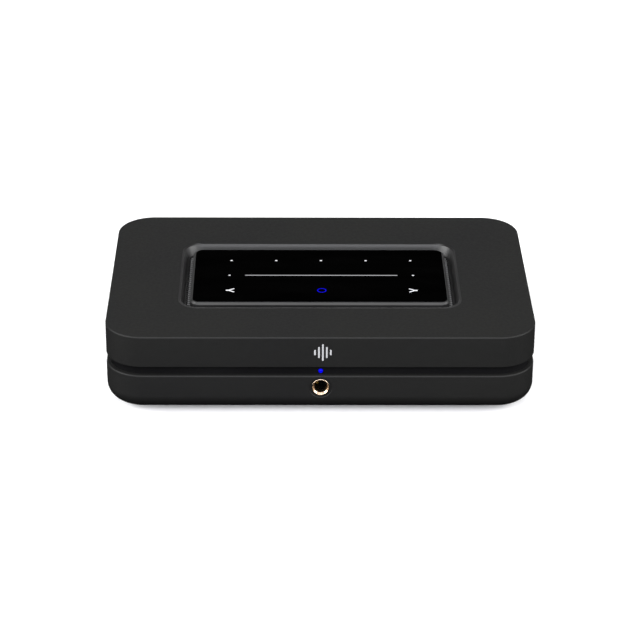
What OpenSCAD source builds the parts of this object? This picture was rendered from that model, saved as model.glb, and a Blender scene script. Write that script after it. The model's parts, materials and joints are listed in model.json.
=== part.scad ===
// Desktop wireless audio receiver: two black shells with a recessed waist, a touch panel set flush
// in a vented well, a headphone socket in front and a recessed connector tray behind.
// Millimetres, +Z up, +Y to the back. Origin: centre of the footprint, on the plane it stands on.

/* [Case] */
// Overall width
case_w = 220; // [212:1:240]
// Overall depth
case_d = 146; // [142:1:160]
// Overall height over the feet
case_h = 46; // [45:0.5:50]
// Plan radius of the four vertical corners
corner_r = 19.5; // [17:0.5:24]
// Height of the rubber feet under the case
foot_h = 3.5; // [3:0.1:4]
// Wall thickness of both shells
wall = 2.5; // [2.2:0.1:2.8]
// Radius of the rounded lower edge
base_round = 10; // [8:0.5:11]
// Height of the lower shell's rim
low_rim_z = 23.95; // [23:0.05:24]
// Height of the upper shell's rim
high_rim_z = 28.8; // [28.8:0.1:30]
// Chamfer along the shells' edges
edge_break = 0.8; // [0.3:0.1:0.9]

/* [Touch panel] */
// Width of the glass
glass_w = 132.6; // [120:0.2:134]
// Depth of the glass
glass_d = 63; // [56:0.2:64]
// Thickness of the glass
glass_t = 1; // [0.8:0.1:1.1]
// Slope width of the rim around the glass
bezel_w = 1.4; // [1:0.1:1.6]
// Width of the well's opening in the top
well_w = 146.2; // [146:0.2:150]
// Depth of the well's opening in the top
well_d = 78.2; // [78:0.2:80]
// How far the well's sides lean in towards its floor
well_lean = 1.6; // [1:0.1:2]
// How far the panel and its well sit towards the front of the case's middle
panel_shift = 1.2; // [0:0.1:1.5]
// Spacing of the vent holes along the well
vent_pitch = 2.4; // [2.2:0.1:3]

/* [Sockets] */
// Height of the headphone socket's axis
phone_z = 17.2; // [16.8:0.1:17.6]
// Bore radius of the headphone socket
phone_r = 3.25; // [3.2:0.05:3.3]
// Bore radius of the small jacks
mini_r = 1.8; // [1.75:0.05:1.85]
// Outer radius of the phono sockets' barrels
rca_r = 4.15; // [4.1:0.05:4.2]
// Height of the waist light
light_z = 25.5; // [25.5:0.1:26.4]

/* [Hidden] */

$fn = 48;
eps = 0.01;
gap = 0.1;

floor_z = foot_h + wall;
roof_z = case_h - wall;
inner_r = corner_r - wall;
front_y = -case_d / 2;
back_y = case_d / 2;

// touch panel and well
well_r = 10;
well_collar = 3;
well_floor_z = case_h - 5;
well_slope = well_lean / (case_h - well_floor_z);
glass_r = 4;
glass_top_z = case_h - 0.1;
carrier_w = glass_w + 2 * bezel_w;
carrier_d = glass_d + 2 * bezel_w;
carrier_top_z = glass_top_z - 0.15;
window_w = glass_w - 8.6;
window_d = glass_d - 9;
grille_t = 1;
grille_lap = 4.1;
vent_hole = 1.1;
vent_outer = 0.6;
vent_inner = 3.1;
corner_vents = 4;

// boards
board_z = 11;
board_t = 1.6;
board_top = board_z + board_t;
main_x = [-36, 88];
main_y = [-38, 61];
psu_x = [-98, -42];
psu_y = [-50, 44];
phone_board_z = 9;
phone_hole_r = 4.75;
phone_ring_r = 5.9;
light_r = 1.15;
frame_t = 2;
boss_xy = [93, 56];
boss_r = 3.5;
boss_bore_r = 1.55;
foot_xy = [78, 42];
foot_r = 8;
post_r = 3;
pilot_r = 1.3;
main_posts = [[-32, -34], [84, -34], [-32, 42], [84, 40]];
psu_posts = [[-94, -46], [-46, -46], [-94, 40], [-46, 40]];
phone_posts = [[-26, -54], [26, -54]];
screw_head = [2.8, 1.7];
screw_r = 1.25;
tower_x = [-51, -45];

// rear tray
tray_x = 86;
tray_z = [10, 38];
tray_wall = 1.9;
panel_y = [62, 64];
socket_y = 64.5;
socket_gap = 0.2;
mini_x = [38, 47, 56];
mini_z = 16.8;
mini_collar_r = 3;
rca_x = [66.5, 78];
rca_z = [18, 30];
rca_at = [for (x = rca_x) for (z = rca_z) [x, z]];
rca_base_y = 64.1;
rca_tip_y = 72.4;
rca_inner_r = 3.5;
rca_stem_r = 3.9;
inlet_at = [-70, 20];
inlet_size = [20.8, 12.8];
inlet_flange = 1.2;
hdmi_at = [-15, 15.7];
hdmi_size = [15, 5.6];
usb_at = [3, 16.3];
usb_size = [14, 6.2];
lan_at = [22, 19.5];
lan_size = [15.8, 13.4];
screw_at = [[-48, 30], [-48, 17], [(rca_x[0] + rca_x[1]) / 2, 24]];

// optical output and its shutter
optical_x = -31;
optical_w = 10;
optical_z = [13, 23.2];
hinge_y = 62.7;
hinge_z = 20.9;
flap_drop = 5.8;
flap_t = 0.8;
pin_r = 0.5;

black = [0.05, 0.05, 0.052];
metal = [0.7, 0.7, 0.72];
gold = [0.83, 0.66, 0.3];
pcb = [0.05, 0.22, 0.14];

// ---- shapes that repeat -------------------------------------------------------------------

// rounded rectangle in plan, true arcs
module plan(w, d, r) {
    square([w - 2 * r, d], center = true);
    square([w, d - 2 * r], center = true);
    for (x = [-1, 1], y = [-1, 1])
        translate([x * (w / 2 - r), y * (d / 2 - r)])
            circle(r, $fn = 96);
}

// the same rectangle as one smooth slab, for the shapes that hull() blends
module slab(w, d, r, z, h) {
    for (x = [-1, 1], y = [-1, 1])
        translate([x * (w / 2 - r), y * (d / 2 - r), z])
            cylinder(r = r, h = h, $fn = 64);
}

module prism(w, d, r, z0, z1) {
    translate([0, 0, z0])
        linear_extrude(z1 - z0)
            plan(w, d, r);
}

module block(x, y, z) {
    translate([x[0], y[0], z[0]])
        cube([x[1] - x[0], y[1] - y[0], z[1] - z[0]]);
}

// a rod along Y from y0 to y1
module rod_y(x, z, r, y0, y1, fn = 48) {
    translate([x, y0, z])
        rotate([-90, 0, 0])
            cylinder(r = r, h = y1 - y0, $fn = fn);
}

// a cross-section at [x, z], as wide and high as size and grown by g, from y0 to y1
module box_y(at, size, g, y0, y1) {
    block([at[0] - size[0] / 2 - g, at[0] + size[0] / 2 + g], [y0, y1],
        [at[1] - size[1] / 2 - g, at[1] + size[1] / 2 + g]);
}

module at_panel() {
    translate([0, -panel_shift, 0])
        children();
}

module posts(points, r, z0, z1) {
    for (p = points)
        translate([p[0], p[1], z0])
            cylinder(r = r, h = z1 - z0);
}

module four(xy) {
    for (x = [-1, 1], y = [-1, 1])
        translate([x * xy[0], y * xy[1], 0])
            children();
}

// pan-head screw pointing down from z, its head above
module screw(z, head_r, head_h, r, length) {
    translate([0, 0, z])
        cylinder(r = head_r, h = head_h);
    translate([0, 0, z - length])
        cylinder(r = r, h = length + eps);
}

// a slab whose sides lean: inset at the bottom, full size at the top
module leaning_slab(w, d, r, lean, z, h) {
    for (x = [-1, 1], y = [-1, 1])
        translate([x * (w / 2 - r), y * (d / 2 - r), z])
            cylinder(r1 = r - lean, r2 = r, h = h, $fn = 64);
}

// a block with its lower edge rounded and its upper edge broken by c
module tub(w, d, r, z0, z1, round_r, c) {
    hull() {
        for (x = [-1, 1], y = [-1, 1])
            translate([x * (w / 2 - r), y * (d / 2 - r), z0 + round_r])
                rotate_extrude($fn = 64)
                    intersection() {
                        translate([r - round_r, 0])
                            circle(round_r, $fn = 32);
                        translate([0, -round_r])
                            square([r, round_r]);
                    }
        slab(w, d, r, z1 - c - 1, 1);
        slab(w - 2 * c, d - 2 * c, r - c, z1 - 1, 1);
    }
}

// ---- swept wires --------------------------------------------------------------------------

function unit(v) = v / norm(v);
function spline(p, i, t) = let (
    a = p[max(i - 1, 0)],
    b = p[i],
    c = p[i + 1],
    d = p[min(i + 2, len(p) - 1)])
    0.5 * (2 * b + (c - a) * t + (2 * a - 5 * b + 4 * c - d) * t * t + (3 * b - a - 3 * c + d) * t * t * t);
function route(p, n) = concat([for (i = [0:len(p) - 2]) for (k = [0:n - 1]) spline(p, i, k / n)],
    [p[len(p) - 1]]);

// a tube of radius r along the points, with flat ends; side is never parallel to the run
module wire(points, r, side = [0.31, 0.52, 0.79], sides = 8) {
    n = len(points);
    rings = [for (i = [0:n - 1])
        let (
            t = unit(points[min(i + 1, n - 1)] - points[max(i - 1, 0)]),
            u = unit(cross(t, side)),
            v = cross(t, u))
        for (k = [0:sides - 1])
            points[i] + r * (cos(360 * k / sides) * u + sin(360 * k / sides) * v)];
    skin = [for (i = [0:n - 2]) for (k = [0:sides - 1])
        let (j = (k + 1) % sides)
        [i * sides + k, i * sides + j, (i + 1) * sides + j, (i + 1) * sides + k]];
    first = [for (k = [sides - 1:-1:0]) k];
    last = [for (k = [0:sides - 1]) (n - 1) * sides + k];
    polyhedron(rings, concat(skin, [first, last]), convexity = 6);
}

// ---- case ---------------------------------------------------------------------------------

mark_heights = [3.2, 6.4, 9.6, 6.4, 3.2];
mark_step = 2;
mark_x = 1;
mark_w = 0.9;
mark_t = 0.4;

module mark_bars(grow, y0, y1) {
    mid = (high_rim_z + case_h) / 2;
    for (i = [0:len(mark_heights) - 1])
        block([mark_x + (i - 2) * mark_step - mark_w / 2 - grow, mark_x + (i - 2) * mark_step + mark_w / 2 + grow],
            [y0, y1], [mid - mark_heights[i] / 2 - grow, mid + mark_heights[i] / 2 + grow]);
}

module top_cover() {
    c = edge_break;
    color(black)
    difference() {
        union() {
            difference() {
                hull() {
                    slab(case_w - 2 * c, case_d - 2 * c, corner_r - c, high_rim_z, case_h - high_rim_z);
                    slab(case_w, case_d, corner_r, high_rim_z + c, case_h - high_rim_z - 2 * c);
                }
                prism(case_w - 2 * wall, case_d - 2 * wall, inner_r, high_rim_z - 1, roof_z);
            }
            at_panel()
                prism(well_w + 2 * well_collar, well_d + 2 * well_collar, well_r + well_collar, well_floor_z,
                    roof_z + eps);
            four(boss_xy)
                translate([0, 0, low_rim_z - 0.9])
                    cylinder(r = boss_r, h = roof_z - low_rim_z + 0.9 + eps);
        }
        at_panel() hull()
            leaning_slab(well_w + 2 * well_slope, well_d + 2 * well_slope, well_r + well_slope,
                well_lean + 2 * well_slope, well_floor_z - 1, case_h - well_floor_z + 2);
        block([-tray_x - gap, tray_x + gap], [panel_y[0] - 1, back_y + 1], [high_rim_z - 1, tray_z[1] + gap]);
        four(boss_xy)
            translate([0, 0, low_rim_z - 2])
                cylinder(r = boss_bore_r, h = 12);
        mark_bars(0.05, front_y - 1, front_y + mark_t);
    }
}

module lower_case() {
    c = edge_break;
    color(black)
    difference() {
        union() {
            difference() {
                tub(case_w, case_d, corner_r, foot_h, low_rim_z, base_round, c);
                tub(case_w - 2 * wall, case_d - 2 * wall, inner_r, floor_z, low_rim_z + 2,
                    base_round - wall, c);
            }
            four(boss_xy)
                translate([0, 0, floor_z - eps])
                    cylinder(r = boss_r, h = low_rim_z - 1.3 - floor_z);
            posts(concat(main_posts, psu_posts), post_r, floor_z - eps, board_z);
            posts(phone_posts, post_r, floor_z - eps, phone_board_z);
            block(tower_x, [panel_y[0] - 7, panel_y[0]], [floor_z - eps, 34]);
        }
        block([-tray_x - gap, tray_x + gap], [panel_y[0], back_y + 1], [tray_z[0] - gap, low_rim_z + 1]);
        rod_y(0, phone_z, phone_hole_r, front_y - 1, front_y + wall + 2);
        rod_y(0, phone_z, phone_ring_r, front_y - 1, front_y + 0.5);
        four(boss_xy) {
            translate([0, 0, foot_h - 1])
                cylinder(r = 1.7, h = low_rim_z);
            translate([0, 0, foot_h - 1])
                cylinder(r = 3.1, h = 3.2);
        }
        four(foot_xy)
            translate([0, 0, foot_h - 1])
                cylinder(r = foot_r + gap, h = 1.5);
        posts(concat(main_posts, psu_posts, phone_posts), pilot_r, floor_z + 0.8, board_z + 1);
        for (p = [screw_at[0], screw_at[1]])
            rod_y(p[0], p[1], 1.45, panel_y[0] - 5.5, panel_y[0] + 1);
    }
}

module mid_frame() {
    w = case_w - 2 * wall - 2 * gap;
    d = case_d - 2 * wall - 2 * gap;
    color(black)
    difference() {
        prism(w, d, inner_r - gap, low_rim_z - 2, high_rim_z + 2);
        prism(w - 2 * frame_t, d - 2 * frame_t, inner_r - gap - frame_t, low_rim_z - 3, high_rim_z + 3);
        block([-tray_x - gap, tray_x + gap], [panel_y[0] - 1, back_y + 1], [0, case_h]);
        rod_y(0, light_z, light_r + gap, front_y, front_y + 10);
        rod_y(0, phone_z, phone_hole_r, front_y, front_y + 10);
    }
}

module rear_panel() {
    color(black)
    difference() {
        block([-tray_x, tray_x], panel_y, tray_z);
        for (socket = [[inlet_at, inlet_size], [hdmi_at, hdmi_size], [usb_at, usb_size], [lan_at, lan_size]])
            box_y(socket[0], socket[1], socket_gap, panel_y[0] - 1, back_y);
        block([optical_x - optical_w / 2 - socket_gap, optical_x + optical_w / 2 + socket_gap],
            [panel_y[0] - 1, back_y], [optical_z[0] - socket_gap, optical_z[1] + socket_gap]);
        for (x = mini_x)
            rod_y(x, mini_z, mini_collar_r + gap, panel_y[0] - 1, back_y);
        for (p = rca_at)
            rod_y(p[0], p[1], rca_stem_r + gap, panel_y[0] - 1, back_y);
        for (p = screw_at)
            rod_y(p[0], p[1], 1.6, panel_y[0] - 1, back_y);
    }
}

// the frame that stands round the sockets, on the socket panel
module rear_bezel() {
    color(black)
    difference() {
        block([-tray_x, tray_x], [panel_y[1], back_y - 0.2], tray_z);
        block([-tray_x + tray_wall, tray_x - tray_wall], [panel_y[1] - 1, back_y + 1],
            [tray_z[0] + tray_wall, tray_z[1] - tray_wall]);
    }
}

module feet() {
    color([0.08, 0.08, 0.08])
    four(foot_xy)
        difference() {
            cylinder(r = foot_r, h = foot_h + 0.5);
            translate([0, 0, -1])
                cylinder(r = 3.5, h = 1.8);
        }
}

module case_screws() {
    color(metal)
    four(boss_xy)
        translate([0, 0, foot_h + 2.2])
            rotate([180, 0, 0])
                screw(0, screw_head[0], screw_head[1], 1.5, 25);
}

module front_mark() {
    color([0.75, 0.75, 0.76])
    mark_bars(0, front_y + 0.03, front_y + mark_t - 0.03);
}

// ---- touch panel --------------------------------------------------------------------------

// square vent holes along one ring of the well: straight runs, then the four corners
module vent_ring(inset) {
    floor_w = well_w - 2 * well_lean;
    floor_d = well_d - 2 * well_lean;
    r = well_r - well_lean;
    run_x = floor_w / 2 - r;
    run_y = floor_d / 2 - r;
    count_x = floor(2 * run_x / vent_pitch);
    count_y = floor(2 * run_y / vent_pitch);
    for (s = [-1, 1]) {
        for (i = [0:count_x])
            translate([(i - count_x / 2) * vent_pitch, s * (floor_d / 2 - inset)])
                square(vent_hole, center = true);
        for (i = [0:count_y])
            translate([s * (floor_w / 2 - inset), (i - count_y / 2) * vent_pitch])
                square(vent_hole, center = true);
        for (y = [-1, 1], k = [1:corner_vents])
            translate([s * run_x, y * run_y])
                rotate(atan2(y, s) + (k - (corner_vents + 1) / 2) * 90 / (corner_vents + 1))
                    translate([r - inset, 0])
                        square(min(vent_hole, (r - inset) * 0.2), center = true);
    }
}

module vent_grille() {
    floor_w = well_w - 2 * well_lean;
    floor_d = well_d - 2 * well_lean;
    color(black)
    at_panel() translate([0, 0, well_floor_z - grille_t - 0.02])
        linear_extrude(grille_t)
            difference() {
                plan(floor_w + 2 * grille_lap, floor_d + 2 * grille_lap, well_r + 2);
                plan(window_w, window_d, glass_r);
                vent_ring(vent_outer + vent_hole / 2);
                vent_ring(vent_inner + vent_hole / 2);
            }
}

module touch_carrier() {
    c = bezel_w - 0.2;
    color(black)
    at_panel() difference() {
        hull() {
            slab(carrier_w, carrier_d, glass_r + bezel_w, well_floor_z, carrier_top_z - c - well_floor_z);
            slab(carrier_w - 2 * c, carrier_d - 2 * c, glass_r + bezel_w - c, well_floor_z,
                carrier_top_z - well_floor_z);
        }
        prism(window_w, window_d, glass_r, well_floor_z - 1, case_h);
        prism(glass_w + 0.1, glass_d + 0.1, glass_r, glass_top_z - glass_t - 0.2, case_h);
    }
}

module touch_glass() {
    color([0.01, 0.01, 0.012])
    at_panel()
        prism(glass_w, glass_d, glass_r, glass_top_z - glass_t, glass_top_z);
}

module touch_adhesive() {
    z = glass_top_z - glass_t;
    color([0.2, 0.2, 0.2])
    at_panel() difference() {
        prism(glass_w - 0.4, glass_d - 0.4, glass_r, z - 0.18, z - 0.01);
        prism(window_w + 0.4, window_d + 0.4, glass_r, z - 1, z + 1);
    }
}

module touch_board() {
    z = glass_top_z - glass_t - 0.05;
    color(pcb)
    at_panel() {
        prism(window_w - 1, window_d - 1, glass_r - 1, z - 1, z);
        block([-9, 9], [10, 14], [z - 3, z - 1 + eps]);
    }
}

ribbon_w = 12;

// the mitred offset of point i of a path, h to its left
function beside(path, i, h) = let (
    before = unit(path[i] - path[max(i - 1, 0)] + (i == 0 ? path[1] - path[0] : [0, 0])),
    after = i == len(path) - 1 ? before : unit(path[i + 1] - path[i]),
    n = unit([-before[1] - after[1], before[0] + after[0]]))
    path[i] + n * h / (n * [-before[1], before[0]]);

// a flat cable: a strip w wide along a bent path in the YZ plane
module flat_cable(x, path, w, t) {
    last = len(path) - 1;
    translate([x - w / 2, 0, 0])
        rotate([90, 0, 90])
            linear_extrude(w)
                polygon([for (i = [0:last]) beside(path, i, t / 2), for (i = [last:-1:0]) beside(path, i, -t / 2)]);
}

module touch_ribbon() {
    color([0.85, 0.85, 0.8])
    flat_cable(0, [[10.2, 40.8], [7, 34], [10, 24], [14, 16.1]], ribbon_w, 0.3);
}

// ---- waist light and headphone output -----------------------------------------------------

module status_lens() {
    color([0.1, 0.2, 1])
    rod_y(0, light_z, light_r, front_y + 1.9, front_y + 5);
}

module status_led() {
    color(pcb)
    block([-5, 5], [front_y + 5.5, front_y + 13], [23.9, 24.7]);
    color([0.9, 0.9, 0.85])
    block([-1.2, 1.2], [front_y + 5.2, front_y + 6.8], [24.6, 26.8]);
}

module headphone_bushing() {
    color([0.76, 0.68, 0.58])
    translate([0, front_y, phone_z])
        rotate([-90, 0, 0])
            rotate_extrude($fn = 96)
                polygon([[phone_r, 1.3], [phone_r + 0.95, 0.25], [4.35, 0.05], [4.65, 0.3], [4.65, 9],
                    [phone_r, 9]]);
}

phone_body_y = [front_y + 9.1, front_y + 30];

module headphone_body() {
    color([0.1, 0.1, 0.1])
    difference() {
        block([-6.4, 6.4], phone_body_y, [phone_board_z + board_t + 0.1, phone_z + 6.4]);
        rod_y(0, phone_z, phone_r + 0.25, phone_body_y[0] - 1, phone_body_y[1] - 1.5);
        for (s = [-1, 1])
            block([s * 5 - 1, s * 5 + 1], [phone_body_y[0] + 3, phone_body_y[1] - 3], [20, 24]);
    }
}

module headphone_contacts() {
    color(gold)
    for (s = [-1, 1])
        for (y = [phone_body_y[0] + 4, phone_body_y[0] + 12]) {
            block([s * 4.9 - 0.2, s * 4.9 + 0.2], [y, y + 3], [20.2, 25]);
            block([min(s * 4.9, s * 6), max(s * 4.9, s * 6)], [y, y + 3], [24.6, 25]);
        }
}

module headphone_board() {
    color(pcb)
    difference() {
        block([-30, 30], [front_y + 5, -39], [phone_board_z, phone_board_z + board_t]);
        for (p = phone_posts)
            translate([p[0], p[1], 0])
                cylinder(r = 1.6, h = 20);
    }
    color([0.12, 0.12, 0.12])
    for (x = [-18, 18])
        block([x - 3.5, x + 3.5], [-56, -49], [phone_board_z + board_t - eps, phone_board_z + board_t + 1.6]);
}

module headphone_ribbon() {
    color([0.85, 0.85, 0.8])
    flat_cable(16, [[-44, 10.9], [-41, 16.5], [-36, 17.5], [-32, 12.9]], 10, 0.3);
}

// ---- boards -------------------------------------------------------------------------------

module board(x, y, posts) {
    difference() {
        block(x, y, [board_z, board_top]);
        for (p = posts)
            translate([p[0], p[1], 0])
                cylinder(r = 1.6, h = 20);
    }
}

module main_board() {
    color(pcb)
    board(main_x, main_y, main_posts);
    color([0.9, 0.9, 0.86]) {
        block([-8, 8], [12, 18], [board_top - eps, board_top + 3]);
        block([11, 21], [-34, -30], [board_top - eps, board_top + 0.2]);
        block([-34, -28], [-10, 4], [board_top - eps, board_top + 6]);
    }
}

module board_screws() {
    color(metal) {
        for (p = main_posts)
            translate([p[0], p[1], 0])
                screw(board_top, screw_head[0], screw_head[1], screw_r, 5.6);
        for (p = phone_posts)
            translate([p[0], p[1], 0])
                screw(phone_board_z + board_t, screw_head[0], screw_head[1], screw_r, 3.6);
    }
}

module psu_screws() {
    color(metal)
    for (p = psu_posts)
        translate([p[0], p[1], 0])
            screw(board_top, screw_head[0], screw_head[1], screw_r, 5.6);
}

chip_at = [24, -8];
chip_w = 20;
chip_t = 1.8;
sink_w = 34;
fin_count = 9;
fin_t = 1.2;

module square_block(at, w, z) {
    block([at[0] - w / 2, at[0] + w / 2], [at[1] - w / 2, at[1] + w / 2], z);
}

module processor() {
    color([0.12, 0.12, 0.12])
    square_block(chip_at, chip_w, [board_top, board_top + chip_t]);
}

module heatsink() {
    z = board_top + chip_t + gap;
    color(metal) {
        square_block(chip_at, sink_w, [z, z + 2]);
        for (i = [0:fin_count - 1])
            translate([chip_at[0] - sink_w / 2 + i * (sink_w - fin_t) / (fin_count - 1), chip_at[1] - sink_w / 2,
                z + 2 - eps])
                cube([fin_t, sink_w, 10]);
    }
}

module wireless_module() {
    color(pcb)
    block([54, 80], [-34, -14], [board_top, board_top + 0.8]);
    color(metal)
    block([57, 77], [-32, -17], [board_top + 0.7, board_top + 2.9]);
}

antenna_z = [33, 41];

module antenna(side) {
    face = side * (case_w / 2 - wall - 0.1);
    color([0.2, 0.2, 0.16])
    block([min(face, face - side), max(face, face - side)], [-34, 2], antenna_z);
}

module antenna_left() antenna(-1);
module antenna_right() antenna(1);

left_route = [[60, -16, 16.2], [50, -17, 20], [44, -30, 26], [20, -34, 32], [-20, -33, 35], [-60, -25, 38],
    [-84, -21, 38.5], [-100, -17, 38], [-106.1, -14, 37]];
right_route = [[74, -16, 16.2], [80, -17, 19], [90, -18, 26], [99, -18, 34], [106.1, -14, 37]];

module antenna_leads() {
    color([0.15, 0.15, 0.15]) {
        wire(route(left_route, 6), 0.6);
        wire(route(right_route, 6), 0.6);
    }
}

module audio_chips() {
    color([0.1, 0.1, 0.1]) {
        for (y = [6, 20])
            block([62, 72], [y, y + 8], [board_top, board_top + 1.5]);
        for (x = [46, 52, 58])
            block([x - 2, x + 2], [33, 38], [board_top, board_top + 1.5]);
        block([-20, -6], [-26, -12], [board_top, board_top + 1.2]);
    }
}

module filter_capacitors() {
    color([0.14, 0.14, 0.3])
    for (i = [0:2]) {
        translate([46 + i * 9, -4, board_top])
            cylinder(r = 3.5, h = 11);
        translate([50.5 + i * 9, 44, board_top])
            cylinder(r = 3, h = 11);
    }
}

module psu_board() {
    color([0.45, 0.33, 0.16])
    board(psu_x, psu_y, psu_posts);
}

module psu_insulator() {
    color([0.85, 0.82, 0.7])
    difference() {
        block([-97, -42], [-40, 34], [floor_z + 0.05, floor_z + 0.5]);
        four(foot_xy)
            cylinder(r = 2, h = 20);
    }
}

module psu_transformer() {
    color([0.75, 0.62, 0.2])
    block([-82, -60], [-16, 12], [board_top + 3, board_top + 18]);
    color([0.1, 0.1, 0.1]) {
        block([-84, -58], [-18, 14], [board_top, board_top + 3.1]);
        block([-76, -66], [-18, 14], [board_top + 2, board_top + 21]);
    }
}

module psu_capacitors() {
    color([0.1, 0.1, 0.12]) {
        translate([-86, -34, board_top])
            cylinder(r = 8, h = 24);
        for (y = [-12, 2])
            translate([-50, y, board_top])
                cylinder(r = 5, h = 18);
    }
}

module psu_choke() {
    color([0.6, 0.32, 0.12])
    translate([-62, -34, board_top + 5])
        rotate_extrude($fn = 64)
            translate([6, 0])
                circle(3.6, $fn = 32);
    color([0.1, 0.1, 0.1])
    translate([-62, -34, board_top])
        cylinder(r = 9, h = 1.6);
}

module psu_heatsink() {
    color(metal) {
        block([-96.5, -95], [-20, 24], [board_top, board_top + 19]);
        block([-95.2, -88], [-20, -18.5], [board_top, board_top + 19]);
        block([-95.2, -88], [22.5, 24], [board_top, board_top + 19]);
    }
}

// ---- power inlet --------------------------------------------------------------------------

inlet_pitch = 8.6;
inlet_pin_r = 1.2;
inlet_hollow_r = 4.35;
inlet_reach = 2.95;

module inlet_hollow(y0, y1) {
    for (s = [-1, 1])
        rod_y(inlet_at[0] + s * inlet_reach, inlet_at[1], inlet_hollow_r, y0, y1);
    box_y(inlet_at, 2 * [inlet_reach, inlet_hollow_r], 0, y0, y1);
}

module inlet_body() {
    color([0.07, 0.07, 0.07])
    difference() {
        union() {
            box_y(inlet_at, inlet_size, 0, 47, socket_y);
            box_y(inlet_at, inlet_size, inlet_flange, panel_y[1] + 0.05, socket_y + 0.8);
        }
        inlet_hollow(52, socket_y + 2);
        for (s = [-1, 1])
            rod_y(inlet_at[0] + s * inlet_pitch / 2, inlet_at[1], inlet_pin_r + 0.05, 40, 60);
    }
}

module inlet_pins() {
    color(metal)
    for (s = [-1, 1])
        rod_y(inlet_at[0] + s * inlet_pitch / 2, inlet_at[1], inlet_pin_r, 44, 62);
}

module inlet_leads() {
    color([0.2, 0.16, 0.14])
    for (s = [-1, 1])
        wire(route([[inlet_at[0] + s * inlet_pitch / 2, 43.9, inlet_at[1]],
            [inlet_at[0] + s * inlet_pitch / 2, 38, inlet_at[1]],
            [inlet_at[0] + s * 3.5, 32, inlet_at[1] - 1],
            [inlet_at[0] + s * 3, 29, inlet_at[1] - 4],
            [inlet_at[0] + s * 3, 28, board_top + 0.2]], 5), 1.1, [1, 0.2, 0.1]);
}

module power_harness() {
    color([0.6, 0.1, 0.1])
    for (i = [0:3])
        translate([0, i * 2.6, 0])
            wire(route([[-44, -4, board_top + 0.5], [-43.5, -3.8, 18], [-40, -4, 23], [-34, -5, 23.5],
                [-31, -6, board_top + 6.6]], 5), 0.8, [0.1, 1, 0.1]);
}

// ---- optical output -----------------------------------------------------------------------

module optical_housing() {
    color([0.06, 0.06, 0.06])
    difference() {
        block([optical_x - optical_w / 2, optical_x + optical_w / 2], [48, socket_y], optical_z);
        block([optical_x - 3.3, optical_x + 3.3], [54, socket_y - 0.7], [14.7, 22.2]);
        block([optical_x - 2.7, optical_x + 2.7], [60, socket_y + 1], [15.2, 20.6]);
        translate([optical_x - 4.6, hinge_y, hinge_z])
            rotate([0, 90, 0])
                cylinder(r = pin_r + 0.01, h = 9.2, $fn = 32);
        rod_y(optical_x, 17.9, 1.8, 47, 55);
    }
}

// hangs on the pin and swings inwards when a plug pushes it
module optical_shutter() {
    color([0.2, 0.2, 0.2])
    difference() {
        union() {
            block([optical_x - 2.95, optical_x + 2.95], [hinge_y - flap_t / 2, hinge_y + flap_t / 2],
                [hinge_z - flap_drop, hinge_z]);
            translate([optical_x - 1.2, hinge_y, hinge_z])
                rotate([0, 90, 0])
                    cylinder(r = 0.95, h = 4.1, $fn = 32);
        }
        translate([optical_x - 5, hinge_y, hinge_z])
            rotate([0, 90, 0])
                cylinder(r = pin_r + 0.06, h = 10, $fn = 32);
        block([optical_x - 4, optical_x - 1.2], [60, 65], [hinge_z - 1.1, hinge_z + 1]);
    }
}

module shutter_pin() {
    color(metal)
    translate([optical_x - 4.5, hinge_y, hinge_z])
        rotate([0, 90, 0])
            cylinder(r = pin_r, h = 9, $fn = 32);
}

// torsion spring on the pin: one leg down the flap's back, the other back along the housing
module shutter_spring() {
    coil_r = 0.78;
    turns = 3;
    x0 = optical_x - 2.9;
    pitch = 0.42;
    coil = [for (k = [0:12 * turns])
        let (a = 180 + k * 30)
        [x0 + k / 12 * pitch, hinge_y + coil_r * cos(a), hinge_z + coil_r * sin(a)]];
    back_leg = [[x0, hinge_y - coil_r - 0.02, hinge_z + 0.2], [x0, hinge_y - 4, hinge_z + 1]];
    flap_leg = [[x0 + 3 * pitch + 0.05, hinge_y - coil_r + 0.02, hinge_z - 0.4],
        [x0 + 3 * pitch + 0.05, hinge_y - flap_t / 2 - 0.15, hinge_z - 3.4]];
    color([0.8, 0.8, 0.82])
    wire([back_leg[1], back_leg[0], for (p = coil) p, flap_leg[0], flap_leg[1]], 0.1,
        [1, 0.05, 0.02], 6);
}

module optical_emitter() {
    color([0.8, 0.1, 0.1])
    rod_y(optical_x, 17.9, 1.7, 48.2, 53.8);
}

// ---- data sockets -------------------------------------------------------------------------

shell_t = 0.45;

module socket_shell(at, size, depth) {
    difference() {
        box_y(at, size, 0, socket_y - depth, socket_y);
        box_y(at, size, -shell_t, socket_y - depth + 1.5, socket_y + 1);
    }
}

module hdmi_shell() {
    color(metal)
    difference() {
        socket_shell(hdmi_at, hdmi_size, 12);
        for (s = [-1, 1])
            translate([hdmi_at[0] + s * hdmi_size[0] / 2, 0, hdmi_at[1] - hdmi_size[1] / 2])
                rotate([0, 45, 0])
                    cube([2.2, 200, 2.2], center = true);
    }
}

module hdmi_tongue() {
    color([0.1, 0.1, 0.1])
    box_y(hdmi_at, [11, 1], 0, socket_y - 10.4, socket_y - 1.5);
}

module usb_shell() {
    color(metal)
    socket_shell(usb_at, usb_size, 14);
}

module usb_tongue() {
    color([0.9, 0.9, 0.9])
    block([usb_at[0] - 5.6, usb_at[0] + 5.6], [socket_y - 12.4, socket_y - 1], [usb_at[1], usb_at[1] + 1.9]);
}

module lan_shell() {
    color(metal)
    difference() {
        box_y(lan_at, lan_size, 0, socket_y - 20, socket_y);
        block([lan_at[0] - 6, lan_at[0] + 6], [socket_y - 14, socket_y + 1], [lan_at[1] - 3.4, lan_at[1] + 4.6]);
        block([lan_at[0] - 3, lan_at[0] + 3], [socket_y - 12, socket_y + 1], [lan_at[1] - 5.2, lan_at[1] - 3]);
    }
}

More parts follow.
